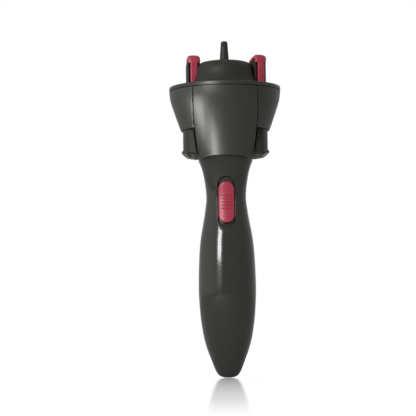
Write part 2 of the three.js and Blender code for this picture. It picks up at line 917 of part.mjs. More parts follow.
// Drum: round at the front and rear, with a pocket for each hook; the dome is part of a sphere
const pockets = (radius) =>
  [-hookRadius, hookRadius]
    .map((x) => bar(radius, discTop - 1, drumTop + 1, x, 0, wideSteps))
    .reduce((all, pocket) => all.add(pocket));
function domeSolid(depth) {
  const side = smooth(drumCurve, drumSteps).map(([r, z]) => [r - depth, z]);
  const [shoulder, shoulderHeight] = drumCurve.at(-1);
  const rise = drumTop - shoulderHeight;
  const sphere = (shoulder ** 2 + rise ** 2) / (2 * rise);
  const steps = 4;
  const dome = Array.from({ length: steps }, (_, i) => {
    const r = (shoulder - depth) * (1 - (i + 1) / steps);
    return [r, drumTop - depth - sphere + Math.sqrt(sphere ** 2 - r ** 2)];
  });
  return lathe([[0, drumCurve[0][1]], ...side.filter(([, z]) => z < dome[0][1]), ...dome]);
}
const drumBody = domeSolid(0).subtract(pockets(pocketRadius));
const drumHollow = domeSolid(drumWall).subtract(pockets(pocketRadius + drumWall));
add(
  group,
  "rotor_drum",
  drumBody.subtract(drumHollow).subtract(bar(spikeNeckRadius + seatGap, discTop + 1, drumTop + 1)),
  headBlack,
);

const spikeSeat = drumTop - drumWall - runGap;
const spikeArc = Array.from({ length: 4 }, (_, i) => {
  const angle = (Math.PI / 2) * ((i + 1) / 4);
  return [
    spikeTopRadius - spikeRound + spikeRound * Math.cos(angle),
    spikeTop - spikeRound + spikeRound * Math.sin(angle),
  ];
});
const spike = lathe(
  [
    [0, spikeSeat - spikeFlangeHeight],
    [spikeFlangeRadius, spikeSeat - spikeFlangeHeight],
    [spikeFlangeRadius, spikeSeat],
    [spikeNeckRadius, spikeSeat],
    [spikeNeckRadius, drumTop + seatGap],
    [spikeBaseRadius, drumTop + seatGap],
    [spikeTopRadius, spikeTop - spikeRound],
    ...spikeArc,
    [0, spikeTop],
  ],
  smallSteps,
);
add(
  group,
  "drum_spike",
  spike.subtract(barAlongY(dimpleRadius, -far, dimpleDepth - spikeTopRadius, 0, dimpleHeight)),
  headBlack,
);

// One hook: the spindle post with its planet gear, and the clip on its rod with the return spring
const postBaseBottom = discTop + runGap;
const postBaseTop = postBaseBottom + postBaseHeight;

// The height of the cap's sloping underside behind its peak
const capSlope = (capRearTop - capPeak) / (capRear - capPeakPlace);
function capUnderside(place) {
  return capPeak - capThickness + capSlope * (place - capPeakPlace);
}

function post() {
  const side = [
    [cheekFront, postBaseTop - bury],
    [cheekRear, postBaseTop - bury],
    [cheekRear, capUnderside(cheekRear) - runGap],
    [capPeakPlace, capPeak - capThickness - 2 * runGap],
    [cheekFront, capSkirt - runGap],
  ];
  const channel = box(
    -cheekInner,
    cheekInner,
    cheekFront - 1,
    cheekRear - postRearWall,
    postBaseTop,
    capPeak,
  );
  return prismAlongX(side, -cheekOuter, cheekOuter)
    .subtract(channel)
    .add(bar(postBaseRadius, postBaseBottom, postBaseTop))
    .add(bar(postShaftRadius, planetBottom, postBaseTop))
    .subtract(bar(rodRadius + runGap, planetBottom - 1, postBaseTop + 1));
}

function clip() {
  const roundReach = capPeakPlace - clipFront;
  const roundSteps = 4;
  const brow = Array.from({ length: roundSteps + 1 }, (_, i) => {
    const angle = (Math.PI / 2) * (i / roundSteps);
    return [capPeakPlace - roundReach * Math.cos(angle), capPeak - capThickness * (1 - Math.sin(angle))];
  });
  const capSide = [
    [clipFront, capSkirt],
    ...brow,
    [capRear, capRearTop],
    [capRear, capRearTop - capThickness],
    [capPeakPlace, capPeak - capThickness],
    [clipFront + legThickness, capSkirt],
  ];
  const capTop = [
    [-capWidth / 2, clipFront + capCorner],
    [-capWidth / 2 + capCorner, clipFront],
    [capWidth / 2 - capCorner, clipFront],
    [capWidth / 2, clipFront + capCorner],
    [capWidth / 2, 0],
    [capRearWidth / 2, capRear],
    [-capRearWidth / 2, capRear],
    [-capWidth / 2, 0],
  ];
  const crownSide = [
    [-capWidth / 2, legBottom],
    [capWidth / 2, legBottom],
    [capWidth / 2, capPeak - capCrown],
    [capWidth / 2 - capCrown, capPeak],
    [-capWidth / 2 + capCrown, capPeak],
    [-capWidth / 2, capPeak - capCrown],
  ];
  const tilt = new THREE.Matrix4().makeShear(0, 0, 0, capSlope, 0, 0);
  const crown = solid(
    extruded(crownSide, capRear - clipFront)
      .rotateX(Math.PI / 2)
      .translate(0, capRear - capPeakPlace, 0)
      .applyMatrix4(tilt)
      .translate(0, capPeakPlace, 0),
  );
  const cap = prismAlongX(capSide, -capWidth, capWidth)
    .intersect(prismUp(capTop, legBottom, capPeak + 1))
    .intersect(crown);
  const blockTop = capUnderside(blockFront) + bury;
  const legRear = clipFront + legThickness;
  const leg = box(-legWidth / 2, legWidth / 2, clipFront, legRear, legBottom, capSkirt + bury);
  const block = box(-blockWidth / 2, blockWidth / 2, blockFront, blockRear, blockBottom, blockTop);
  return cap
    .add(leg)
    .add(block)
    .subtract(bar(rodRadius + seatGap, blockBottom - 1, rodTop + seatGap));
}

const rodFlangeBottom = liftRingBottom + liftRingThickness + runGap;
const rodFlangeTop = rodFlangeBottom + rodFlangeHeight;

// The return spring: one unbroken coil between the rod's flange and the end of the spindle
function spring() {
  const bottom = rodFlangeTop + seatGap + springWire / 2;
  const top = planetBottom - seatGap - springWire / 2;
  const stepsPerTurn = 8;
  class Coil extends THREE.Curve {
    getPoint(t, target = new THREE.Vector3()) {
      const angle = 2 * Math.PI * springTurns * t;
      return target.set(
        springRadius * Math.cos(angle),
        springRadius * Math.sin(angle),
        bottom + (top - bottom) * t,
      );
    }
  }
  const section = new THREE.Shape(
    Array.from({ length: 5 }, (_, i) => {
      const angle = (2 * Math.PI * i) / 5;
      return new THREE.Vector2((springWire / 2) * Math.cos(angle), (springWire / 2) * Math.sin(angle));
    }),
  );
  const pitch = (top - bottom) / springTurns;
  console.log(`spring turns lie ${(pitch - springWire).toFixed(2)} mm apart`);
  return solid(
    new THREE.ExtrudeGeometry(section, {
      steps: stepsPerTurn * springTurns,
      extrudePath: new Coil(),
      bevelEnabled: false,
    }),
  );
}

for (const [name, side, spin] of [
  ["left", -1, leftSpin],
  ["right", 1, rightSpin],
]) {
  const hook = new THREE.Group();
  const turn = THREE.MathUtils.degToRad(spin);
  hook.position.set(side * hookRadius, 0, 0);
  hook.rotation.z = turn;
  group.add(hook);
  const phase = Math.PI / planetTeeth - turn;
  add(hook, `${name}_post`, post(), headBlack);
  add(
    hook,
    `${name}_planet`,
    gear(planetTeeth, rotorModule, postShaftRadius + seatGap, planetBottom, planetTop, phase),
    gearWhite,
  );
  add(hook, `${name}_clip`, clip(), crimson);
  const rod = bar(rodFlangeRadius, rodFlangeBottom, rodFlangeTop).add(
    bar(rodRadius, rodFlangeBottom, rodTop, 0, 0, fineSteps),
  );
  add(hook, `${name}_rod`, rod, steel);
  add(hook, `${name}_spring`, spring(), steel);
}

// Head: cone outline, and the solid of revolution that lies a given depth under its surface
const coneProfile = smooth(coneCurve, coneSteps);
const coneBottom = coneCurve[0][1];
const coneTop = coneCurve.at(-1)[1];

function coneSolid(depth) {
  const wall = coneProfile.map(([r, z]) => [r - depth, z]);
  return lathe([[0, coneBottom], ...wall, [0, coneTop]]);
}

// A panel's outline from the front, with its hanging corners, drawn back by a gap on each side
function panelOutline(gap) {
  const archSteps = 8;
  const bottom = Array.from({ length: archSteps + 1 }, (_, i) => {
    const share = (2 * i) / archSteps - 1;
    return [share * (panelCorner - gap), panelBottom - panelArch * share ** 2];
  });
  return [
    ...bottom,
    [panelShoulder - gap, seamHeight],
    [panelShoulder - gap, coneTop + 1],
    [-panelShoulder + gap, coneTop + 1],
    [-panelShoulder + gap, seamHeight],
  ];
}
const coneShell = coneSolid(0).subtract(coneSolid(panelWall));
const panelRibs = [-panelRibPlace, panelRibPlace]
  .map((x) => box(x - ribThickness / 2, x + ribThickness / 2, -far, far, socketBottom, panelRibTop))
  .reduce((all, rib) => all.add(rib))
  .intersect(coneSolid(panelWall / 2))
  .subtract(bar(chassisRadius + seatGap, coneBottom, coneTop, 0, 0, wideSteps));
const panels = coneShell.add(panelRibs);
add(group, "panel_front", panels.intersect(prismAlongY(panelOutline(0), -far, 0)), headBlack);
add(group, "panel_rear", panels.intersect(prismAlongY(panelOutline(0), 0, far)), headBlack);

// Side covers: the cone beside the panels, with a stepped tongue behind each panel's edge
const coverShell = coneSolid(0).subtract(coneSolid(coverWall));
const tongueDepth = panelWall + runGap;
const band = (half) => box(-half, half, -far, far, seamHeight, tongueTop);
const between = (inner, outer) => band(outer).subtract(band(inner));
const stepEdge = panelShoulder + runGap;
const tongue = coneSolid(tongueDepth)
  .intersect(between(panelShoulder - tongueReach, stepEdge + tongueReach))
  .add(coneSolid(coverWall / 2).intersect(between(stepEdge, stepEdge + tongueReach)))
  .subtract(coneSolid(tongueDepth + coverWall));
const covers = coverShell
  .intersect(box(-far, far, -far, far, coverBottom, coneTop))
  .subtract(prismAlongY(panelOutline(-runGap), -far, far))
  .add(tongue);
add(group, "side_cover_left", covers.intersect(box(-far, 0, -far, far, coneBottom, coneTop)), headBlack);
add(group, "side_cover_right", covers.intersect(box(0, far, -far, far, coneBottom, coneTop)), headBlack);

// Track ring under the disc, and the rim ring that holds the disc down
const trackBottom = trackTop - trackThickness;
const coneAtTrack = Math.min(radiusAt(coneProfile, trackBottom), radiusAt(coneProfile, trackTop));
const trackRadius = coneAtTrack - panelWall - 2 * seatGap;
add(group, "rotor_track", ring(trackRadius - trackWidth, trackRadius, trackBottom, trackTop), innerBlack);

const rimBottom = coneTop + runGap;
const spigotRadius = headRadius - panelWall - 2 * runGap;
const rimArc = Array.from({ length: rimArcSteps + 1 }, (_, i) => {
  const angle = (Math.PI / 2) * (i / rimArcSteps);
  return [headRadius - rimRound + rimRound * Math.cos(angle), rimTop - rimRound + rimRound * Math.sin(angle)];
});
const rim = lathe([
  [spigotRadius - rimSpigotWidth, trackTop + seatGap],
  [spigotRadius, trackTop + seatGap],
  [spigotRadius, rimBottom],
  [headRadius, rimBottom],
  ...rimArc,
  [rimLip, rimTop],
  [rimLip, rimTop - rimLipThickness],
  [spigotRadius - rimSpigotWidth, rimTop - rimLipThickness],
  [spigotRadius - rimSpigotWidth, trackTop + seatGap],
]);
add(group, "rim_ring", rim, headBlack);

// Side levers: a round face with a wing towards each panel, a flared lip and the shelf that carries the ring
function leverOutline(inset) {
  const arcSteps = 10;
  const half = Math.asin(leverEdge / leverRadius);
  const arc = Array.from({ length: arcSteps + 1 }, (_, i) => {
    const angle = -half + (2 * half * i) / arcSteps;
    const radius = leverRadius - inset;
    return [radius * Math.cos(angle), radius * Math.sin(angle)];
  });
  return [[wingInner, -wingDepth + inset], ...arc, [wingInner, wingDepth - inset]];
}
function lipLine(height) {
  const steps = 12;
  return Array.from({ length: steps + 1 }, (_, i) => {
    const y = (wingDepth + 2 * lipReach) * ((2 * i) / steps - 1);
    return [y, lipBottom + height - lipDrop * y ** 2];
  });
}
const leverLow = lipBottom - lipDrop * (wingDepth + 2 * lipReach) ** 2 - 1;
const aboveLip = prismAlongX([...lipLine(0), [far, leverTop], [-far, leverTop]], 0, far);
const lipBand = prismAlongX([...lipLine(0), ...lipLine(lipHeight).reverse()], 0, far);
const leverWallSolid = prismUp(leverOutline(0), leverLow, leverTop)
  .subtract(prismUp(leverOutline(leverWall), leverLow - 1, leverTop + 1))
  .intersect(aboveLip);
const lip = prismUp(leverOutline(-lipReach), leverLow, leverTop)
  .subtract(prismUp(leverOutline(leverWall), leverLow - 1, leverTop + 1))
  .intersect(lipBand);
const raisedPanels = panelOutline(-runGap).map(([x, z]) => [x, z - liftTravel]);
const panelSweep = prismAlongY(raisedPanels, -far, far);
const shelfTop = liftRingBottom - seatGap;
const shelf = prismUp(leverOutline(leverWall / 2), shelfTop - shelfThickness, shelfTop).subtract(
  bar(chassisRadius + runGap, leverLow, above, 0, 0, wideSteps),
);
const lever = leverWallSolid.add(lip).subtract(panelSweep).add(shelf);
for (const [name, turn] of [
  ["left", Math.PI],
  ["right", 0],
]) {
  const side = new THREE.Group();
  side.rotation.z = turn;
  group.add(side);
  add(side, `lever_${name}`, lever, headBlack);
}
add(
  group,
  "lift_ring",
  ring(liftRingInner, liftRingOuter, liftRingBottom, liftRingBottom + liftRingThickness),
  gearWhite,
);

export default group;
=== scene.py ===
import math

import bmesh
import bpy
import numpy as np
from mathutils import Matrix, Vector


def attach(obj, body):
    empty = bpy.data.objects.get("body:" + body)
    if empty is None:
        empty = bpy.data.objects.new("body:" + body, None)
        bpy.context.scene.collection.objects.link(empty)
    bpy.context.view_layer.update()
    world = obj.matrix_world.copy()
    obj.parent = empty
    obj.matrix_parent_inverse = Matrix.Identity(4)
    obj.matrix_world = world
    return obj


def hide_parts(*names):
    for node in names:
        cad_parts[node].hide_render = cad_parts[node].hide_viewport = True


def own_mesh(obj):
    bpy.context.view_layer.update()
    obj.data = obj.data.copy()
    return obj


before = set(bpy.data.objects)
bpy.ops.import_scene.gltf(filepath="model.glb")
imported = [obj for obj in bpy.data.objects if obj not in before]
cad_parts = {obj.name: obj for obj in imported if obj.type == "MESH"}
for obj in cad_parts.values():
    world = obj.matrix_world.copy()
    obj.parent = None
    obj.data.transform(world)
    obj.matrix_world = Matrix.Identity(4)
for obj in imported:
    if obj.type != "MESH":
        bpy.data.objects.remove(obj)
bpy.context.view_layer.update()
scene = bpy.context.scene

# -------- Camera
# A long lens at about a metre, held just over the table and tipped up a little,
# so that the rims of the head are seen from below and the tip of the grip from above.
frame_pixels = 416
lens_distance = 1.2
lens_height = 0.020
pixel_width = 0.000651  # what one pixel covers at the grip's distance
turn_in_frame = math.radians(0.74)  # the braider leans a little to the left in the frame
aim_across, aim_height = -0.01195, 0.1104


def place_camera():
    """Turns the camera so that its line of sight runs through the aim point, then rolls it round that line."""
    data = bpy.data.cameras.new("table_camera")
    data.sensor_width = 36
    data.lens = 36 * lens_distance / (frame_pixels * pixel_width)
    data.clip_start, data.clip_end = 0.05, 20
    camera = bpy.data.objects.new("table_camera", data)
    scene.collection.objects.link(camera)
    place = Vector((aim_across, -lens_distance, lens_height))
    sight = Vector((aim_across, 0, aim_height)) - place
    camera.rotation_mode = "QUATERNION"
    camera.location = place
    camera.rotation_quaternion = (
        sight.to_track_quat("-Z", "Y") @ Matrix.Rotation(-turn_in_frame, 3, "Z").to_quaternion()
    )
    scene.camera = camera


place_camera()
scene.view_settings.view_transform = "Standard"

# -------- Table top
# A white laminate sheet with a soft sheen, large enough to run out of the frame.
# It stays under the tip of the grip and takes the braider's shadow and its short, fading reflection.


class Value:
    """A number or vector that runs through a material's nodes. Each operator adds a Math node."""

    def __init__(self, finish, socket):
        self.finish, self.socket = finish, socket

    def maths(self, operation, *terms, clamp=False):
        settings = {"operation": operation, "use_clamp": clamp}
        return self.finish.node("ShaderNodeMath", settings, dict(enumerate(terms)))

    def __add__(self, other):
        return self.maths("ADD", self, other)

    def __radd__(self, other):
        return self.maths("ADD", other, self)

    def __sub__(self, other):
        return self.maths("SUBTRACT", self, other)

    def __rsub__(self, other):
        return self.maths("SUBTRACT", other, self)

    def __mul__(self, other):
        return self.maths("MULTIPLY", self, other)

    def __rmul__(self, other):
        return self.maths("MULTIPLY", other, self)

    def held(self):
        """The same number, kept between 0 and 1."""
        return self.maths("ADD", self, 0.0, clamp=True)


class Finish:
    """A world, or the new material of that name, while its nodes are laid.
    Every node but the last comes from node()."""

    def __init__(self, owner):
        owner = bpy.data.materials.new(owner) if isinstance(owner, str) else owner
        owner.use_nodes = True
        self.owner, self.tree = owner, owner.node_tree
        self.tree.nodes.clear()

    def node(self, kind, settings=None, inputs=None, output=0):
        """Adds a node of that kind, applies its settings, then its sockets' values or links."""
        made = self.tree.nodes.new(kind)
        for key, value in (settings or {}).items():
            setattr(made, key, value)
        for key, value in (inputs or {}).items():
            socket = made.inputs[key]
            if isinstance(value, Value):
                self.tree.links.new(value.socket, socket)
            elif isinstance(value, tuple) and socket.type == "RGBA":
                socket.default_value = (*value[:3], 1)
            else:
                socket.default_value = value
        return Value(self, made.outputs[output])

    def place(self, scale=(1, 1, 1)):
        """Object coordinates, multiplied by scale."""
        here = self.node("ShaderNodeTexCoord", output=3)
        return self.node("ShaderNodeMapping", {}, {"Vector": here, "Scale": scale})

    def noise(self, size, detail=2.0, stretch=(1, 1, 1)):
        """Smooth noise whose patches are about size metres across."""
        vector = self.place(tuple(s / size for s in stretch))
        return self.node("ShaderNodeTexNoise", {}, {"Vector": vector, "Scale": 1.0, "Detail": detail})

    def blend(self, share, first, second):
        """The first colour where share is 0, the second where it is 1."""
        inputs = {0: share, 6: first, 7: second}
        return self.node("ShaderNodeMix", {"data_type": "RGBA"}, inputs, output=2)

    def mixed(self, share, first, second):
        """The first shader where share is 0, the second where it is 1."""
        return self.node("ShaderNodeMixShader", {}, {0: share, 1: first, 2: second})

    def between(self, value, low, high):
        """0 where value is low or less, 1 where it is high or more, and even in between."""
        return self.node("ShaderNodeMapRange", {}, {"Value": value, "From Min": low, "From Max": high})

    def bump(self, height, strength, distance):
        """The surface's normal, tilted by that height's slopes."""
        return self.node("ShaderNodeBump", {}, {"Height": height, "Strength": strength, "Distance": distance})

    def surface(self, shader):
        """Ends the material in that shader."""
        end = self.tree.nodes.new(f"ShaderNodeOutput{type(self.owner).__name__}")
        self.tree.links.new(shader.socket, end.inputs["Surface"])
        return self.owner

    def solid(self, **inputs):
        """Ends the material in the Principled shader with those inputs, underscores standing for spaces."""
        named = {key.replace("_", " "): value for key, value in inputs.items()}
        return self.surface(self.node("ShaderNodeBsdfPrincipled", {}, named))


def mesh_object(name, points, faces, finish=None, sharp=35, closed=True):
    """An object at the origin from points in millimetres and faces of three or four indices.
    Points in one place are merged, and a closed shell's faces are turned outwards."""
    mesh = bpy.data.meshes.new(name)
    mesh.from_pydata((np.asarray(points) * 0.001).tolist(), [], [f.tolist() for f in faces])
    work = bmesh.new()
    work.from_mesh(mesh)
    bmesh.ops.remove_doubles(work, verts=work.verts, dist=2e-6)
    bmesh.ops.dissolve_degenerate(work, edges=work.edges, dist=1e-6)
    if closed:
        bmesh.ops.recalc_face_normals(work, faces=work.faces)
    work.to_mesh(mesh)
    work.free()
    mesh.polygons.foreach_set("use_smooth", np.ones(len(mesh.polygons), bool))
    mesh.set_sharp_from_angle(angle=math.radians(sharp))
    if finish:
        mesh.materials.append(finish)
    made = bpy.data.objects.new(name, mesh)
    scene.collection.objects.link(made)
    return made


table_half = 3000.0  # millimetres
table_gap = 0.05
reflection_reach = 0.95  # metres


def laminate():
    """A pale lit sheet. To the camera it shows partly as even white, more so with distance, and near the braider
    it mirrors: the sheen's share falls evenly with distance and as the look on it gets steeper."""
    finish = Finish("white_laminate")
    pale = finish.blend(finish.noise(0.12, 3.0), (0.68, 0.68, 0.68), (0.72, 0.72, 0.715))
    sheet = finish.node("ShaderNodeBsdfDiffuse", {}, {"Color": pale})
    glow = finish.node("ShaderNodeEmission", {}, {"Color": (1.0, 1.0, 1.0), "Strength": 1.6})
    gloss = finish.node("ShaderNodeBsdfGlossy", {}, {"Color": (1.0, 1.0, 1.0), "Roughness": 0.06})
    seen = finish.node("ShaderNodeLightPath", output=0)
    facing = finish.node("ShaderNodeLayerWeight", {}, {"Blend": 0.5}, output=1)
    place = finish.node("ShaderNodeTexCoord", output=3)
    behind = finish.node("ShaderNodeSeparateXYZ", {}, {0: place}, output=1)
    reach = finish.node("ShaderNodeVectorMath", {"operation": "LENGTH"}, {0: place}, output=1)
    glow_share = 0.50 + 0.25 * finish.between(behind, -0.02, 0.25) + 0.6 * finish.between(reach, 0.5, 1.1)
    sheen = 0.74 * (1.0 - finish.between(reach, 0.0, reflection_reach)) * finish.between(facing, 0.50, 0.97)
    shown = finish.mixed(seen * glow_share.held(), sheet, glow)
    return finish.surface(finish.mixed(seen * sheen, shown, gloss))


table_top = mesh_object(
    "table_top",
    np.array([[-1, -1, 0], [1, -1, 0], [1, 1, 0], [-1, 1, 0]]) * table_half - [0, 0, table_gap],
    np.array([[0, 1, 2, 3]]),
    laminate(),
    closed=False,
)

# -------- Studio light
# A grey room, brighter on the left and behind the braider, with a broad lamp up on the camera's left:
# its edge fades into a soft patch of lit wall. Two small, low, narrow lamps on the left light only the cone.
key_direction = (-0.508, -0.813, 0.285)  # from the braider's head


def studio_room():
    """White to the camera. To the braider a wall whose light depends on the direction alone: it grows evenly to the
    left, again to the far side, towards the key lamp's direction, and once more straight behind."""
    finish = Finish(bpy.data.worlds.new("studio_room"))
    direction = finish.node("ShaderNodeTexCoord", output=0)
    sideways, across = (finish.node("ShaderNodeSeparateXYZ", {}, {0: direction}, output=k) for k in (0, 1))
    to_key = {0: direction, 1: key_direction}
    near_key = finish.node("ShaderNodeVectorMath", {"operation": "DOT_PRODUCT"}, to_key, output=1)
    wall = (0.42, 0.42, 0.405)
    for share, light in (
        (finish.between(sideways * -1.0, 0.30, 0.90), (0.90, 0.90, 0.885)),
        (finish.between(across, -0.15, 0.70), (0.55, 0.55, 0.54)),
        (finish.between(near_key, 0.955, 1.0), (2.6, 2.6, 2.55)),
        (finish.between(across, 0.93, 0.985), (1.0, 1.0, 1.0)),
    ):
        wall = finish.blend(share, wall, light)
    lit, white = (
        finish.node("ShaderNodeBackground", {}, {"Color": colour, "Strength": 1.0})
        for colour in (wall, (1.0, 1.0, 1.0))
    )
    seen = finish.node("ShaderNodeLightPath", output=0)
    return finish.surface(finish.mixed(seen, lit, white))


scene.world = studio_room()


def placed_lamp(name, kind, place, target, power):
    """A lamp of that kind that faces its target, both in metres."""
    data = bpy.data.lights.new(name, kind)
    data.energy = power
    lamp = bpy.data.objects.new(name, data)
    lamp.location = place
    lamp.rotation_mode = "QUATERNION"
    lamp.rotation_quaternion = (Vector(target) - Vector(place)).to_track_quat("-Z", "Y")
    lamp.visible_camera = False
    scene.collection.objects.link(lamp)
    return lamp


key_lamp = placed_lamp("key_lamp", "AREA", (-0.636, -1.018, 0.435), (0, 0, 0.10), 7.0)
key_lamp.data.shape, key_lamp.data.size, key_lamp.data.size_y = "RECTANGLE", 0.33, 0.38
head_pieces = bpy.data.collections.new("head_pieces")  # the only ones that the two small lamps light
for name, place, target, power, cone in (
    ("side_lamp", (-0.210, -0.112, 0.050), (-0.022, -0.026, 0.180), 2.3, 13),
    ("low_lamp", (-0.114, -0.162, 0.045), (-0.0075, -0.0225, 0.147), 1.25, 13),
):
    lamp = placed_lamp(name, "SPOT", place, target, power)
    lamp.data.spot_size, lamp.data.spot_blend, lamp.data.shadow_soft_size = math.radians(cone), 1.0, 0.015
    lamp.light_linking.receiver_collection = head_pieces

# -------- Grip shells
# Two glossy black ABS half shells, injection moulded and screwed together from the rear.
# The front one holds the switch's recess, the rear one the battery opening and four counterbores.
grip_stations = [
    (4.8, 0), (8.6, 5.2), (14.3, 20.8), (16.8, 32.6), (18.15, 44.3), (18.75, 60),
    (17.55, 86), (14.15, 106.8), (13.05, 118.5), (14.95, 132.8), (17.9, 142),
]
neck_top = 156.3
shell_wall = 2.0
hollow_floor = 7.0
parting_gap = 0.004  # from the plane between the shells to each of them
parting_round, opening_round, tip_round = 0.22, 0.25, 2.2
opening_blend, pocket_blend = 4, 3  # how far round an opening and a pocket the wall changes


def curve_through(stations, count):
    """Points on the curve through the stations: a cubic from each to the next, whose slope at a station
    is half the step between its neighbours; at the ends the station stands for the missing neighbour."""
    p = np.asarray(stations, float)
    t = np.linspace(0, len(p) - 1, count)
    i = np.minimum(t.astype(int), len(p) - 2)
    t = (t - i)[:, None]
    before, here, after, beyond = p[np.maximum(i - 1, 0)], p[i], p[i + 1], p[np.minimum(i + 2, len(p) - 1)]
    leave, arrive = (after - before) / 2, (beyond - here) / 2
    cube, square = 2 * (here - after) + leave + arrive, 3 * (after - here) - 2 * leave - arrive
    return cube * t**3 + square * t**2 + leave * t + here


grip_curve = curve_through(grip_stations, 900)


def grip_radius(height):
    """The curve through the stations, straight above the last one, and closed at the tip by a quarter of
    a curve between an ellipse and its box."""
    radius = np.interp(height, grip_curve[:, 1], grip_curve[:, 0])
    rise = np.clip(height / tip_round, 0, 1)
    return radius * (1 - (1 - rise) ** 3) ** (1 / 3)


def eased(share):
    """0 to 1 with level ends: three times the share squared less twice its cube."""
    share = np.clip(share, 0, 1)
    return share * share * (3 - 2 * share)


def edge_fall(distance, radius):
    """How far a quarter-round edge has dropped at a distance from it: the radius less the circle's height there."""
    away = np.clip(radius - distance, 0, radius)
    return radius - np.sqrt(radius**2 - away**2)


def steps(*spans):
    """One rising list from spans of (start, end, step), each divided evenly."""
    runs = [np.linspace(a, b, max(2, int(round(abs(b - a) / step)) + 1)) for a, b, step in spans]
    return np.unique(np.round(np.concatenate(runs), 4))


def grid_faces(index):
    """The four-cornered faces of a grid of point numbers."""
    return np.stack([index[:-1, :-1], index[1:, :-1], index[1:, 1:], index[:-1, 1:]], -1).reshape(-1, 4)


def shut(faces, offset):
    """The faces that join a sheet's open edges to the same edges of its copy, offset points further on.
    An edge is open where no other face runs along it the other way."""
    start, end = faces.reshape(-1), np.roll(faces, -1, axis=1).reshape(-1)
    span = int(faces.max()) + 1
    open_edge = ~np.isin(start * span + end, end * span + start)
    start, end = start[open_edge], end[open_edge]
    return np.stack([end, start, start + offset, end + offset], -1)


def on_grip(across, height, fall, side):
    """Points that lie fall under the grip's surface, on its front (side -1) or rear (side 1):
    their depth is the root of the squared radius less the squared distance across."""
    depth = np.sqrt(np.maximum((grip_radius(height) - fall) ** 2 - across**2, 0))
    return np.stack([across, side * depth, height], -1)


def pocket(loop, numbers, first, side, p):
    """Fills a hole in a sheet with the round-ended pocket p. loop holds the hole's corners (across, height) in order
    and numbers their point numbers. A ring is (inset, fall, flat): each of its points lies on the line from the
    pocket's middle line to a loop point, at the radius less the inset, fall under the grip's surface,
    and flat is its share of the way on to the plane at seat."""
    foot = np.stack([np.full(len(loop), p["centre"]), np.clip(loop[:, 1], p["low"], p["high"])], -1)
    way = loop - foot
    way /= np.linalg.norm(way, axis=1)[:, None]
    start = foot + (p["radius"] - p["rings"][0][0]) * way
    made = [on_grip(*(loop + share * (start - loop)).T, 0.0, side) for share in (0.35, 0.7)]
    for inset, fall, flat in p["rings"]:
        ring = on_grip(*(foot + (p["radius"] - inset) * way).T, fall, side)
        ring[:, 1] += flat * (p["seat"] - ring[:, 1])
        made.append(ring)
    index = np.concatenate([numbers[None], first + np.arange(len(made) * len(loop)).reshape(-1, len(loop))])
    return np.concatenate(made), grid_faces(np.concatenate([index, index[:, :1]], 1))


def mouth(radius, depth, floor_round, reach):
    """A pocket's rings: a quarter-round mouth, a straight wall, a rounded foot and the floor."""
    turn = [(math.sin(a), math.cos(a)) for a in np.radians([0, 22, 45, 68, 90])]
    lip = [(-radius + radius * s, radius - radius * c, 0) for s, c in turn]
    foot = [(floor_round - floor_round * c, depth - floor_round + floor_round * s, 0) for s, c in turn]
    return lip + foot + [(reach * share, depth, 0) for share in (0.4, 0.7, 1.0)]


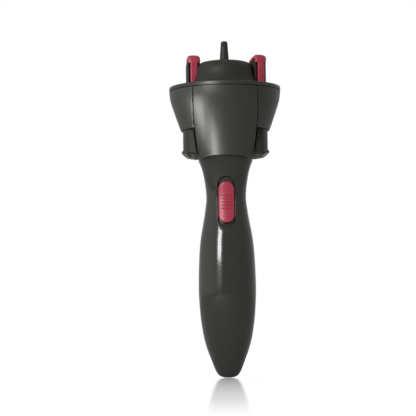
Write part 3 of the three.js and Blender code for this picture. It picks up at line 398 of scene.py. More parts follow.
def half_shell(name, side, rows, fixed, full_radius, pockets, opening, finish):
    """A grip half: its outer sheet with the pockets, its inner sheet one wall further in, and the strips between.
    Columns stand at fixed distances from the middle, narrowed with the grip where it is slimmer than full_radius,
    and fan out in even angles to the rounded parting edge."""
    radius = grip_radius(rows)[:, None]
    safe = np.maximum(radius, 1e-3)
    inner = np.arcsin(np.clip(fixed * np.minimum(1, radius / full_radius) / safe, 0, 1))
    last = np.pi / 2 - np.minimum(parting_gap / safe, 0.2)
    lip = parting_round * np.minimum(1, radius / 6)
    fans = inner[:, -1:] + np.linspace(0, 1, 15)[1:] * (last - lip / safe - inner[:, -1:])
    angle = np.concatenate([inner, fans, last - lip * np.array([0.4, 0.15, 0]) / safe], 1)
    fall = edge_fall((last - angle) * radius, lip)
    angle = np.concatenate([-angle[:, :0:-1], angle], 1)
    fall = np.concatenate([fall[:, :0:-1], fall], 1)
    across, height = radius * np.sin(angle), rows[:, None] + 0 * angle
    half, low, high = opening
    beyond = np.maximum(np.maximum(height - high, low - height), 0)
    away = np.hypot(np.maximum(np.abs(across) - half, 0), beyond)
    fall = np.maximum(fall, edge_fall(away, opening_round))
    outer = np.stack([(radius - fall) * np.sin(angle), side * (radius - fall) * np.cos(angle), height], -1)
    reaches = [np.hypot(outer[..., 0] - p["centre"], height - np.clip(height, p["low"], p["high"])) for p in pockets]
    deep = shell_wall + sum(p["behind"] * eased(1 - r / (p["radius"] + pocket_blend)) for p, r in zip(pockets, reaches))
    closed_end = (grip_radius(hollow_floor) - shell_wall) * height / hollow_floor
    hollow = np.where(height < hollow_floor, closed_end, radius - deep)
    drawn = 1 - (1 - hollow / safe) * eased(away / opening_blend)
    inside = outer[..., 0] * drawn
    depth = side * np.sqrt(np.maximum(hollow**2 - inside**2, parting_gap**2))
    inside = np.stack([inside, depth, np.maximum(height, hollow_floor)], -1)
    index = np.arange(angle.size).reshape(angle.shape)
    middle = (outer[:-1, :-1] + outer[1:, 1:]) / 2
    kept = ~((np.abs(middle[..., 0]) < half) & (middle[..., 2] > low) & (middle[..., 2] < high))
    sheet = grid_faces(index)[kept.reshape(-1)]
    points = [outer.reshape(-1, 3), inside.reshape(-1, 3)]
    faces = [sheet[:, ::-1] + angle.size, shut(sheet, angle.size)]
    first = 2 * angle.size
    centre_column = angle.shape[1] // 2
    for p in pockets:
        i0, i1 = np.searchsorted(rows, np.array(p["rows"]) - 1e-3)
        j0, j1 = (centre_column + int(np.sign(x)) * np.searchsorted(fixed, abs(x) - 1e-3) for x in p["columns"])
        kept[i0:i1, j0:j1] = False
        numbers = np.concatenate([index[i0:i1, j0], index[i1, j0:j1], index[i1:i0:-1, j1], index[i0, j1:j0:-1]])
        made, more = pocket(points[0][numbers][:, [0, 2]], numbers, first, side, p)
        points.append(made)
        faces.append(more)
        first += len(made)
    faces.append(grid_faces(index)[kept.reshape(-1)])
    return mesh_object(name, np.concatenate(points), np.concatenate(faces), finish, sharp=40)


def glossy_black():
    """Polished black ABS: two close near-blacks in slow clouds, faint wipe marks along the grip,
    and an orange-peel skin far too shallow to see except in reflections."""
    finish = Finish("glossy_black_abs")
    cloud = finish.noise(0.030, 3.0)
    wipes = finish.noise(0.004, 4.0, stretch=(1, 1, 0.12))
    colour = finish.blend(cloud, (0.0200, 0.0200, 0.0175), (0.0270, 0.0270, 0.0236))
    skin = finish.bump(finish.noise(0.0022, 1.0), 0.05, 0.0004)
    return finish.solid(Base_Color=colour, Roughness=0.06 + 0.05 * wipes + 0.03 * cloud, Normal=skin, IOR=1.50)


gloss_black = glossy_black()
row_step, recess_rows = 1.4, (89.0, 135.0)
front_columns, front_full_radius, no_opening = np.arange(0, 8.1, 1.0), 12.5, (-1, 0, 0)
tip_rows = tip_round * (1 - np.cos(np.radians(np.linspace(0, 90, 9))))
front_spans = ((tip_round, recess_rows[0]), recess_rows, (recess_rows[1], neck_top))
front_rows = steps(*((low, high, row_step) for low, high in front_spans))
recess = dict(
    centre=0.0, low=102.3, high=124.2, radius=5.6, behind=2.4, rings=mouth(0.5, 2.2, 0.35, 5.6), seat=0.0,
    rows=recess_rows, columns=(-8, 8),
)
front_shell = half_shell(
    "front_grip_shell",
    -1,
    np.unique(np.concatenate([tip_rows, front_rows]).round(4)),
    front_columns,
    front_full_radius,
    [recess],
    no_opening,
    gloss_black,
)
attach(front_shell, "housing")
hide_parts("handle_front")

# The rear shell: the battery opening between its own screws, and a counterbore for each screw.
opening_half, opening_low, opening_high = 12.15, 32.85, 90.15
screw_places = [(0.0, 24.0), (-8.6, 93.6), (8.6, 93.6), (0.0, 128.3)]
low_rows, middle_rows, high_rows = (19.8, 28.2), (90.4, 97.2), (123.6, 133.0)  # cut for their counterbores
cut_half = 5.0
screw_cuts = [
    (low_rows, (-cut_half, cut_half)), (middle_rows, (-opening_half, -cut_half)),
    (middle_rows, (cut_half, opening_half)), (high_rows, (-cut_half, cut_half)),
]
counterbore_radius, counterbore_depth, counterbore_round = 2.7, 4.0, 0.3


def screw_seat(across, height):
    """How far behind the middle a counterbore's floor lies: the grip's depth there less the counterbore's."""
    return math.sqrt(grip_radius(height) ** 2 - across**2) - counterbore_depth


def counterbore(across, height, rows, columns):
    """The pocket of one screw: a quarter-round mouth, a straight wall and a flat seat."""
    edge = counterbore_round
    rings = [(-edge + edge * math.sin(a), edge - edge * math.cos(a), 0) for a in np.radians([0, 30, 60, 90])]
    rings += [(inset, edge, 1) for inset in (0, counterbore_radius / 2, counterbore_radius)]
    return dict(
        centre=across, low=height, high=height, radius=counterbore_radius, behind=3.6, rings=rings,
        seat=screw_seat(across, height), rows=rows, columns=columns,
    )


edge_lines = np.array([0, 0.04, 0.1, 0.25])
rear_rows = np.concatenate(
    [
        tip_rows,
        steps((tip_round, low_rows[0], row_step), (*low_rows, 1.2), (low_rows[1], opening_low - edge_lines[-1], 1.1)),
        steps((opening_low, opening_high, 1.3), (*middle_rows, 1.1), (middle_rows[1], high_rows[0], row_step)),
        steps((*high_rows, 1.2), (high_rows[1], neck_top, row_step)),
        opening_low - edge_lines,
        opening_high + edge_lines,
    ]
)
rear_columns = steps((0, cut_half, 1.0), (cut_half, opening_half, 1.0))
rear_shell = half_shell(
    "rear_grip_shell",
    1,
    np.unique(rear_rows.round(4)),
    np.concatenate([rear_columns, opening_half + edge_lines[1:]]),
    grip_radius(opening_low) - 0.01,
    [counterbore(*place, *cut) for place, cut in zip(screw_places, screw_cuts)],
    (opening_half, opening_low, opening_high),
    gloss_black,
)
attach(rear_shell, "housing")
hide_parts("handle_rear")

# -------- Battery door
# A snap-in ABS cover that follows the grip, with a shallow thumb dish and three raised bars
# near its upper edge; it lifts straight off the rear.
door_half, door_low, door_high, door_edge = 11.85, 33.15, 89.85, 0.3
dish_height, dish_radius, dish_depth = 80.5, 5.4, 0.7
grip_bar_places, grip_bar_half, grip_bar_length, grip_bar_rise = (-2.3, 0, 2.3), 0.75, 3.6, 0.62


def rounded_lines(low, high, step, radius, clear=2):
    """Even lines that start clear times the radius from low and from high, with four more beside each end for
    its rounded edge."""
    lines = radius * np.array([0, 0.12, 0.35, 1])
    even = steps((low + clear * radius, high - clear * radius, step))
    return np.concatenate([low + lines, even, high - lines[::-1]])


def grid_mesh(grid):
    """The points and faces of a grid of points."""
    return grid.reshape(-1, 3), grid_faces(np.arange(grid.size // 3).reshape(grid.shape[:2]))


def plate(outer, inner):
    """A closed plate from two grids of points of the same size that lie over each other."""
    points, sheet = grid_mesh(outer)
    faces = [sheet, sheet[:, ::-1] + len(points), shut(sheet, len(points))]
    return np.concatenate([points, inner.reshape(-1, 3)]), np.concatenate(faces)


def door_plate():
    """The grip's surface over the door's rectangle, less a dish whose depth eases from its rim to its middle,
    plus bars whose height is a raised cosine across them; its back lies one wall further in."""
    across = rounded_lines(-door_half, door_half, 0.5, door_edge, clear=3)
    x, z = np.meshgrid(across, rounded_lines(door_low, door_high, 0.35, door_edge, clear=3))
    fall = edge_fall(np.minimum.reduce([door_half - np.abs(x), z - door_low, door_high - z]), door_edge)
    reach = np.hypot(x, z - dish_height)
    fall = fall + dish_depth * eased((dish_radius - reach) / 1.6)
    for place in grip_bar_places:
        off = np.abs(z - dish_height - place) / grip_bar_half
        bar = np.where(off < 1, 0.5 + 0.5 * np.cos(np.pi * off), 0) * eased((grip_bar_length - np.abs(x)) / 0.6)
        fall = fall - grip_bar_rise * bar
    return plate(on_grip(x, z, fall, 1), on_grip(x, z, shell_wall, 1))


battery_cover = mesh_object("battery_cover", *door_plate(), gloss_black, sharp=50)
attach(battery_cover, "door")
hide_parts("battery_door")

# -------- Case screws
# Zinc-plated steel self-tapping screws with a pan head and a pressed cross recess,
# each down on the seat of its counterbore.


def clouded(name, dark, light, clouds, grain, relief, roughness, drift, ior=1.5, metallic=0.0, lip_light_colour=None):
    """Two close shades in slow clouds, which also raise its roughness by up to drift, and a fine grain in relief.
    clouds and grain are sizes in metres, relief is the grain's strength and depth. Where the vertex value of painted
    light is 1, the shades give way to the pale colour given last: a painted highlight that stands for light falling
    there, not wear."""
    finish = Finish(name)
    cloud = finish.noise(clouds, 3.0)
    colour = finish.blend(cloud, dark, light)
    # painted highlight: a pale colour laid where the vertices' painted-light value is high, standing for light, not
    # wear
    if lip_light_colour:
        painted_lip_light = finish.node("ShaderNodeAttribute", {"attribute_name": "painted_lip_light"}, output=2)
        colour = finish.blend(painted_lip_light * (0.88 + 0.12 * cloud), colour, lip_light_colour)
    skin = finish.bump(finish.noise(grain), *relief)
    gloss = roughness + drift * cloud
    return finish.solid(Base_Color=colour, Metallic=metallic, Roughness=gloss, Normal=skin, IOR=ior)


# Bluish bright plating that clouds a little.
zinc = clouded(
    "zinc_plated_steel", (0.42, 0.43, 0.44), (0.58, 0.58, 0.57), 0.0012, 0.00025, (0.12, 0.00005), 0.22, 0.16,
    metallic=1.0,
)
head_radius, head_edge, head_rise, head_crown = 2.4, 0.35, 1.05, 0.5
shank_radius, shank_length, screw_lift = 1.3, 6.0, 0.1
cross_half_width, cross_reach, cross_depth = 0.42, 1.55, 0.85


def cross_head(across, height):
    """A pan head seen along Y: it falls off as a quarter ellipse at its rim, and the cross is cut
    where the smaller of the two distances from the slots' middle lines is under the slot's half width."""
    seat = screw_seat(across, height) + screw_lift
    inner = np.linspace(0, head_radius - head_edge, 22)
    ring = np.concatenate([inner, head_radius - head_edge * (1 - np.linspace(0.15, 1, 6)) ** 2])
    r, a = np.meshgrid(ring, np.linspace(0, 2 * np.pi, 97), indexing="ij")
    x, z = r * np.cos(a), r * np.sin(a)
    top = head_rise + head_crown * np.sqrt(np.maximum(1 - (r / 2.41) ** 2, 0))
    slot = np.minimum(np.abs(x), np.abs(z))
    depth = cross_depth * eased((cross_half_width - slot) / 0.14) * eased((cross_reach - r) / 0.2)
    cap = np.stack([across + x, seat + top - depth, height + z], -1)
    skirt, shank = (
        np.stack([across + share * x[-1], seat + 0 * x[-1], height + share * z[-1]], -1)
        for share in (1, shank_radius / head_radius)
    )
    end = shank - [0, shank_length, 0]
    tip = end * 0 + [across, seat - shank_length - 0.6, height]
    return grid_mesh(np.concatenate([cap, skirt[None], shank[None], end[None], tip[None]]))


for number, place in enumerate(screw_places, 1):
    screw = mesh_object(f"case_screw_head_{number}", *cross_head(*place), zinc, sharp=40)
    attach(screw, "housing")
    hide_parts(f"case_screw_{number}")

# -------- Slide button
# One crimson ABS moulding in the front recess: a low crown with five grip bars across it.
# It slides 2.6 mm up or down to pick the turning direction.
button_half, button_low, button_high = 5.2, 99.7, 126.5
button_rise, button_foot, button_round = 0.9, 1.2, 0.8
bar_count, bar_pitch, bar_half_width, bar_half_length, bar_rise, bar_middle = 5, 2.1, 0.5, 3.5, 0.6, 113.2
crown_swell, bar_lift, bar_sink = 0.16, 0.02, 0.25

# Deep crimson with a pink cast and a finely orange-peeled moulded skin.
crimson = clouded(
    "crimson_abs", (0.355, 0.026, 0.056), (0.405, 0.036, 0.070), 0.006, 0.0007, (0.10, 0.0001), 0.30, 0.10
)


def joined(*pairs):
    """Several (points, faces) pairs as one pair."""
    starts = np.cumsum([0] + [len(points) for points, faces in pairs])
    all_points = np.concatenate([points for points, faces in pairs])
    return all_points, np.concatenate([faces + start for (points, faces), start in zip(pairs, starts)])


def button_parts():
    """The crown: rings of an upright oval drawn in towards its middle line, from the foot up the side, over the
    rounded edge and across; it bulges a little towards the middle. The bars: half-round beads laid on it."""
    low, high = button_low + button_half, button_high - button_half
    turn = np.linspace(0, np.pi, 25)
    arc = np.stack([np.cos(turn), np.sin(turn)], -1)
    straight = np.linspace(0, 1, 13)[1:-1, None]
    rim = np.concatenate([
        np.column_stack([np.full(25, high), arc]),
        np.hstack([high + (low - high) * straight, 0 * straight - 1.0, 0 * straight]),
        np.column_stack([np.full(25, low), -arc]),
        np.hstack([low + (high - low) * straight, 0 * straight + 1.0, 0 * straight]),
    ])
    edge = [(math.cos(b), math.sin(b)) for b in np.radians([0, 22, 45, 68, 90])]
    rings = [(0, button_foot)]
    rings += [(button_round * (1 - c), button_round - button_rise - button_round * s) for c, s in edge]
    rings += [(button_half * s, -button_rise - crown_swell * math.sin(s * math.pi / 2)) for s in (0.35, 0.6, 0.8, 1.0)]
    crown = [on_grip(0 * rim[:, 0], rim[:, 0], button_foot, -1)]
    for inset, fall in rings:
        reach = (button_half - inset) * rim[:, 1:]
        crown.append(on_grip(reach[:, 0], rim[:, 0] + reach[:, 1], fall, -1))
    crown = np.stack(crown)
    along = np.linspace(-1, 1, 33)[:, None]
    swell = np.sqrt(np.maximum(1 - np.abs(along) ** 10, 0))
    round_ = np.linspace(-np.pi / 2, np.pi / 2, 9)
    bars = []
    for k in range(bar_count):
        x = bar_half_length * along + 0 * round_
        z = bar_middle + (k - bar_count // 2) * bar_pitch + bar_half_width * swell * np.sin(round_)
        top = on_grip(x, z, -button_rise - bar_lift - bar_rise * swell * np.cos(round_) ** 0.8, -1)
        bars.append(plate(top, on_grip(x, z, -button_rise + bar_sink, -1)))
    return joined(grid_mesh(np.concatenate([crown, crown[:, :1]], 1)), *bars)


slide_button = mesh_object("slide_button", *button_parts(), crimson, sharp=50)
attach(slide_button, "switch")
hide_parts("switch_button")

# -------- Cone panels and side covers
# Satin black ABS skins of the head: a front and a rear panel with an arched skirt, and a cover
# between them on each side. Thin joint lines run between them.
cone_stations = [(21.9, 140), (24.9, 149.5), (29.0, 160.8), (31.9, 169), (35.4, 179.7), (36.4, 186.5)]
panel_wall, cover_wall, joint_gap, skin_edge = 1.6, 1.0, 0.3, 0.3
skin_half, panel_height = 20.0, 44.0  # what half a skin's width and a panel's height come to, for spacing their lines
skirt_middle, skirt_fall, skirt_corner = 142.8, 1.9, 17.6
shoulder_half, shoulder_height = 20.7, 167.3
cover_low, cone_top = 160.8, 186.5
cone_curve = curve_through(cone_stations, 500)


def cone_radius(height):
    """The curve through the stations, straight from each of its points to the next."""
    return np.interp(height, cone_curve[:, 1], cone_curve[:, 0])


def panel_half(height):
    """Half a panel's width: even growth from the skirt's corner to the shoulder, then constant."""
    low = skirt_middle - skirt_fall
    share = np.clip((height - low) / (shoulder_height - low), 0, 1)
    return skirt_corner + (shoulder_half - skirt_corner) * share


# Spark-textured black ABS: a fine even grain that softens reflections, slow clouds of wear in its gloss.
satin = clouded(
    "satin_black_abs", (0.0140, 0.0138, 0.0100), (0.0180, 0.0178, 0.0130), 0.022, 0.00045, (0.16, 0.00006),
    0.36, 0.08, ior=1.58,
)


def cone_panel(side):
    """The cone's surface between the panel's edges: across is a share of the half width at each height,
    and the lowest row hangs lower by the square of that share. Its edges are quarter-rounds."""
    share = rounded_lines(-skin_half, skin_half, 0.8, skin_edge) / skin_half
    up = rounded_lines(0.0, panel_height, 0.9, skin_edge) / panel_height
    u, v = np.meshgrid(share, up)
    low = skirt_middle - skirt_fall * u**2
    z = low + (cone_top - low) * v
    x = u * panel_half(z)
    ends = np.minimum(v, 1 - v) * panel_height
    fall = edge_fall(np.minimum((1 - np.abs(u)) * skin_half, ends), skin_edge)
    sheets = []
    for depth in (fall, panel_wall):
        radius = cone_radius(z) - depth
        sheets.append(np.stack([x, side * np.sqrt(radius**2 - x**2), z], -1))
    return plate(*sheets)


def side_cover(side):
    """The cone's surface beside the panels, fanned round by a share of the angle to the joint line at each
    height, with an inner sheet one wall further in that runs on behind the panels' edges."""
    share = rounded_lines(-skin_half, skin_half, 0.7, skin_edge) / skin_half
    u, z = np.meshgrid(share, rounded_lines(cover_low, cone_top, 0.8, skin_edge))
    fall = edge_fall(np.minimum.reduce([(1 - np.abs(u)) * skin_half, z - cover_low, cone_top - z]), skin_edge)
    sheets = []
    for depth in (fall, cover_wall):
        radius = cone_radius(z) - depth
        angle = u * np.arccos(np.clip((panel_half(z) + joint_gap) / radius, -1, 1))
        sheets.append(np.stack([side * radius * np.cos(angle), radius * np.sin(angle), z], -1))
    return plate(*sheets)


for name, node, shape, side in (
    ("front_cone_panel", "panel_front", cone_panel, -1),
    ("rear_cone_panel", "panel_rear", cone_panel, 1),
    ("left_side_cover", "side_cover_left", side_cover, -1),
    ("right_side_cover", "side_cover_right", side_cover, 1),
):
    skin = mesh_object(name, *shape(side), satin, sharp=45)
    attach(skin, "housing")
    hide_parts(node)
    head_pieces.objects.link(skin)

# -------- Rim ring and rotor disc
# A round-shouldered satin ring closes the top of the cone; the turning disc lies flush inside it,
# with a fine running gap between the two.


def rounded_path(points, radii, count=6, closed=True):
    """A polyline's corners replaced by arcs: each arc starts and ends radius / tan(half the corner's angle)
    from the corner, along its two sides."""
    p = np.asarray(points, float)
    made = []
    for i, radius in enumerate(radii):
        here, back, on = p[i], p[i - 1], p[(i + 1) % len(p)]
        if radius == 0 or (not closed and i in (0, len(p) - 1)):
            made.append(here[None])
            continue
        a, b = (back - here) / np.linalg.norm(back - here), (on - here) / np.linalg.norm(on - here)
        half = math.acos(max(-1, min(1, float(a @ b)))) / 2
        reach = radius / math.tan(half)
        centre = here + (a + b) / np.linalg.norm(a + b) * radius / math.sin(half)
        start, end = here + a * reach - centre, here + b * reach - centre
        sweep = math.pi - 2 * half
        t = np.linspace(0, 1, count + 1)[:, None]
        made.append(centre + (np.sin((1 - t) * sweep) * start + np.sin(t * sweep) * end) / math.sin(sweep))
    return np.concatenate(made)


def turned(profile, count=144, closed=True):
    """A profile of (radius, height) points carried once round an upright line; a closed one meets itself."""
    profile = np.concatenate([profile, profile[:1]]) if closed else np.asarray(profile, float)
    angle = np.linspace(0, 2 * np.pi, count + 1)
    radius, height = profile[:, 0][:, None], profile[:, 1][:, None]
    return grid_mesh(np.stack([radius * np.cos(angle), radius * np.sin(angle), height + 0 * angle], -1))


rim_profile = rounded_path(
    [
        (33.2, 184.6), (34.2, 184.6), (34.2, 186.8), (36.4, 186.8),
        (36.4, 189.3), (31.1, 189.3), (31.1, 186.4), (33.2, 186.4),
    ],
    [0, 0, 0, 0.12, 0.5, 0.35, 0.2, 0],
    10,
)
rim_ring = mesh_object("round_rim_ring", *turned(rim_profile, 192), satin, sharp=40)
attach(rim_ring, "housing")
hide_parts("rim_ring")

disc_profile = rounded_path(
    [
        (0, 186.6), (29.0, 186.6), (29.0, 184.8), (32.9, 184.8),
        (32.9, 186.1), (30.5, 186.1), (30.5, 188.1), (0, 188.1),
    ],
    [0, 0, 0, 0.2, 0.2, 0.2, 0.4, 0],
)
rotor_plate = mesh_object("rotor_plate", *turned(disc_profile), satin, sharp=40)
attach(rotor_plate, "rotor")
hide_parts("rotor_disc")

# -------- Side levers
# Two satin finger levers under the side covers, pulled up together to lift the hooks.
# Each is a curved plate with two angled wings and a flared lip along its hanging lower edge.
lever_radius, lever_edge, lever_wall = 27.7, 13.2, 1.6
wing_start, wing_depth, lever_travel = 17.9, 15.6, 5.0
lever_top, lip_height, lip_hang, lip_reach, lip_band = 166.5, 146.3, 0.0125, 1.0, 1.6
arc_end, lever_corner = 24.35, 1.5  # how far out the face's arc ends, and the round between it and a wing
lip_round, top_round = 0.35, 0.3


def arc_lengths(line):
    """How far along the line each of its points lies."""
    return np.concatenate([[0], np.cumsum(np.linalg.norm(np.diff(line, axis=0), axis=1))])


def points_at(places, run, line):
    """The points at those places along a line whose own points lie at run."""
    return np.stack([np.interp(places, run, line[:, k]) for k in (0, 1)], -1)


def square_to(path):
    """Unit vectors square to a path seen from above, to its right."""
    off = np.gradient(path, axis=0)
    return np.stack([off[:, 1], -off[:, 0]], -1) / np.linalg.norm(off, axis=1)[:, None]


def lever_path(inset):
    """The lever's outline seen from above, from one wing's edge round to the other's: straight wings, an arc
    with rounded corners, all drawn in by inset. Its points lie evenly along it."""
    half = math.asin(lever_edge / lever_radius)
    arc = np.linspace(-half, half, 41)
    radius = lever_radius - inset
    face = np.stack([radius * np.cos(arc), radius * np.sin(arc)], -1)
    ends = np.array([[wing_start, -wing_depth + inset], [wing_start, wing_depth - inset]])
    corner = max(lever_corner - inset, 0.1)
    near = rounded_path([ends[0], face[0], face[3]], [0, corner, 0], 10, closed=False)
    far = rounded_path([face[-4], face[-1], ends[1]], [0, corner, 0], 10, closed=False)
    line = np.concatenate([near, face[4:-4], far])
    run = arc_lengths(line)
    return points_at(np.linspace(0, 1, 121) * run[-1], run, line)


def side_lever(side):
    """The outline carried up from the hanging lip to the top. Near the lip it swells outwards by an eased share
    of the reach. A wing's edge is cut where the raised panel would pass, by moving its points along the wing."""
    outline, back = lever_path(0.0), lever_path(lever_wall)
    lip_rows = np.array([0, 0.04, 0.12, 0.3, 0.6, 0.9, 1.2, 1.5, 1.9, 2.4, 3.0]) / 24.0
    up = np.concatenate([lip_rows, steps((0.16, 0.985, 0.045)), [0.99, 0.996, 1.0]])
    low = lip_height - lip_hang * outline[:, 1] ** 2
    z = low + (lever_top - low) * up[:, None]
    least = panel_half(z + lever_travel) + joint_gap
    sheets = []
    for path, outward in ((outline, 1.0), (back, 0.0)):
        off = square_to(path)
        swell = lip_reach * (1 - eased((z - low) / lip_band - 0.35))
        swell = outward * (swell - edge_fall(z - low, lip_round) - edge_fall(lever_top - z, top_round))
        x = np.maximum(path[:, 0] + swell * off[:, 0], least)
        sheets.append(np.stack([side * x, side * (path[:, 1] + swell * off[:, 1]), z], -1))
    return plate(*sheets)


# The head's satin black; inside the lip it is painted pale grey, a painted highlight standing for the light
# that the lip's inner face catches from below.
lever_finish = clouded(
    "lever_satin_abs", (0.0270, 0.0267, 0.0210), (0.0330, 0.0327, 0.0260), 0.010, 0.00045, (0.14, 0.00006),
    0.36, 0.08, ior=1.22, lip_light_colour=(0.56, 0.56, 0.53),
)
for name, node, side in (("left_lift_lever", "lever_left", -1), ("right_lift_lever", "lever_right", 1)):
    lever = mesh_object(name, *side_lever(side), lever_finish, sharp=40)
    at = np.empty(3 * len(lever.data.vertices))
    lever.data.vertices.foreach_get("co", at)
    x, y, z = np.abs(at.reshape(-1, 3).T) * 1000
    wing_line = lever_edge + (arc_end - x) * (wing_depth - lever_edge) / (arc_end - wing_start)
    # painted highlight mask: 1 on the inner faces up to 2.6 mm above the lip, fading out over the next 0.8 mm
    inside = (np.hypot(x, y) < lever_radius - 0.8) & (y < wing_line - 0.8)
    painted_lip_light = inside * (1 - eased((z - (lip_height - lip_hang * y**2) - 2.6) / 0.8))
    lever.data.attributes.new("painted_lip_light", "FLOAT", "POINT").data.foreach_set("value", painted_lip_light)
    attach(lever, "lever_set")
    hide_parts(node)

# -------- Rotor drum and spike
# A matte black domed drum turns on the disc; a round pocket is left free for each hook.
# The slim spike that parts the hair is pressed into the middle of the dome.
drum_stations = [
    (24.6, 188.2), (22.9, 190.2), (21.6, 192.4), (20.8, 194.3), (19.9, 197.0), (19.1, 201.9),
    (17.0, 204.5), (15.2, 205.6), (11.4, 206.35), (7.6, 206.87), (3.8, 207.19), (0.0, 207.3),
]
hook_place, pocket_radius = 20.8, 8.3


def drum_body():
    """Each row is the drum's circle at that height less the two pockets: an arc round the front, the near wall of
    one pocket, an arc round the rear and the other wall. The arcs meet where the circles cross, at the angle whose
    cosine is (radius squared + hook place squared - pocket radius squared) / (2 x radius x hook place)."""
    rows = curve_through(drum_stations, 97)
    radius, height = np.abs(rows[:, 0])[:, None], rows[:, 1][:, None]
    radius[-1] = 0
    safe = np.maximum(radius, 1e-3)
    meet = np.arccos(np.clip((radius**2 + hook_place**2 - pocket_radius**2) / (2 * safe * hook_place), -1, 1))
    sweep = np.linspace(0, 1, 61)
    front = -(np.pi - meet) + sweep * (np.pi - 2 * meet)
    near = np.arctan2(radius * np.sin(meet), radius * np.cos(meet) - hook_place)
    wall = np.pi + (np.pi - near) * (1 - 2 * np.linspace(0, 1, 25))
    cut = radius > hook_place - pocket_radius
    wall_x = np.where(cut, hook_place + pocket_radius * np.cos(wall), radius)
    wall_y = np.where(cut, pocket_radius * np.sin(wall), 0)
    x = np.concatenate([radius * np.cos(front), wall_x[:, ::-1], -radius * np.cos(front), -wall_x[:, ::-1]], 1)
    y = np.concatenate([radius * np.sin(front), -wall_y, -radius * np.sin(front), wall_y], 1)
    grid = np.stack([x, y, height + 0 * x], -1)
    grid = np.concatenate([grid[:1] * [0, 0, 1], grid])
    return grid_mesh(np.concatenate([grid, grid[:, :1]], 1))


# Finely eroded black ABS of the turning pieces: rougher than the cone, with a fine grain and slow clouds.
matte = clouded(
    "matte_black_abs", (0.0185, 0.0183, 0.0135), (0.0235, 0.0233, 0.0175), 0.009, 0.0005, (0.08, 0.00004),
    0.52, 0.08, ior=1.40,
)

drum = mesh_object("domed_drum", *drum_body(), matte)
bevel = drum.modifiers.new("rounded_edges", "BEVEL")
bevel.width, bevel.segments, bevel.limit_method = 0.00045, 3, "ANGLE"
bevel.angle_limit, bevel.use_clamp_overlap, bevel.harden_normals = math.radians(35), True, True
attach(drum, "rotor")
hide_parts("rotor_drum")

dimple_height, dimple_radius, dimple_depth, spike_round, spike_flat = 217.3, 0.95, 0.75, 219.0, 1.35


def spike_body():
    """The spike's profile carried round; near the dimple's middle each point moves inwards by an eased depth."""
    profile = rounded_path(
        [
            (0, 205.0), (2.9, 205.0), (2.9, 207.38), (3.35, 207.38),
            (2.95, 208.4), (2.15, 219.6), (2.15, 220.0), (0, 220.0),
        ],
        [0, 0, 0, 0.15, 0.8, 0, 0, 0],
        closed=False,
    )
    run = arc_lengths(profile)
    knots = np.concatenate([run, steps((run[-3] - 5.5, run[-3], 0.12), (run[5], run[-3] - 5.5, 0.6))])
    profile = points_at(np.unique(knots.round(3)), run, profile)
    crown = np.clip(profile[:, 1] - spike_round, 0, 1)
    rounded_end = spike_flat + 0.8 * np.sqrt(np.maximum(1.0 - crown**2, 0))
    profile[:, 0] = np.where(crown > 0, np.minimum(profile[:, 0], rounded_end), profile[:, 0])
    points, faces = turned(profile, 120, closed=False)
    away = np.hypot(points[:, 0], points[:, 2] - dimple_height)
    points[:, 1] += np.where(points[:, 1] < 0, dimple_depth * eased((dimple_radius - away) / 0.5), 0)
    return points, faces


spike = mesh_object("parting_spike", *spike_body(), matte, sharp=50)
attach(spike, "rotor")
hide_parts("drum_spike")

# -------- Hook posts
# Each hook stands in a matte black channel with two cheeks and a rear wall on a round foot;
# it is one moulding with the spindle that turns it.
cheek_middle, cheek_half, cheek_front, cheek_rear = 3.6, 0.6, -5.6, 4.0
post_low, post_height, post_corner, wall_edge = 188.9, 16, 0.75, 0.3
cap_line = [cheek_front, -4.2, 4.6], [204.9, 207.1, 203.94]  # the cap's underside, from front to rear
hook_turns = {"left": (-hook_place, math.radians(8)), "right": (hook_place, math.radians(29))}


def on_hook(points, side):
    """Points given from a hook's axis, turned by that hook's rest angle and moved to its place."""
    place, turn = hook_turns[side]
    cos, sin = math.cos(turn), math.sin(turn)
    x, y, z = points.T
    return np.stack([place + x * cos - y * sin, x * sin + y * cos, z], -1)


def post_channel():
    """A line round the cheeks and rear wall, with an outer and an inner sheet half the wall to each side of it.
    The top follows the cap's underside. Wall ends and upper edges are quarter-rounds."""
    middle, front, rear = cheek_middle, cheek_front, cheek_rear
    corners = [(-middle, front), (-middle, rear), (middle, rear), (middle, front)]
    line = rounded_path(corners, [0, post_corner, post_corner, 0], 8, closed=False)
    run = arc_lengths(line)
    knots = rounded_lines(0, run[-1], 0.45, wall_edge)
    path = points_at(knots, run, line)
    off = -square_to(path)
    top = np.interp(path[:, 1], *cap_line)
    z = post_low + (top - post_low) * (rounded_lines(0, post_height, 0.6, wall_edge) / post_height)[:, None]
    end = np.minimum(knots, run[-1] - knots)
    reach = cheek_half - np.maximum(edge_fall(end, wall_edge), edge_fall(top - z, 0.25))
    sheets = [
        np.stack([path[:, 0] + way * reach * off[:, 0], path[:, 1] + way * reach * off[:, 1], z], -1)
        for way in (1, -1)
    ]
    return plate(*sheets)


foot_profile = rounded_path(
    [(0, 179.6), (3.5, 179.6), (3.5, 188.4), (6.2, 188.4), (6.2, 189.4), (0, 189.4)], [0, 0.3, 0, 0.2, 0.35, 0], 5
)
for side in ("left", "right"):
    points, faces = joined(post_channel(), turned(foot_profile, 96))
    post = mesh_object(f"{side}_hook_post", on_hook(points, side), faces, matte, sharp=40)
    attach(post, f"{side}_spindle")
    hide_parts(f"{side}_post")

# -------- Hook clips
# Crimson ABS hooks that hold the hair: a leg down the front of the channel, a rounded cap over it
# and a block behind that rides on the lift rod.
clip_front, clip_leg, clip_leg_half, leg_low = -7.3, 1.4, 2.35, 189.7
cap_skirt, cap_peak, cap_peak_place, cap_end, cap_end_top, cap_thick = 205.2, 210.4, -4.2, 7.0, 206.0, 2.7
cap_half, cap_end_half, cap_swell, cap_edge_sink = 4.2, 3.0, 0.45, 0.9
brow_reach, under_reach, under_rise = 3.1, 1.7, 1.1
cap_side_round, cap_end_round, leg_round, rider_round = 1.1, 0.9, 0.55, 0.4
rider_half, rider_front, rider_rear, rider_low, rider_high = 2.6, -1.2, 3.0, 190.1, 205.2


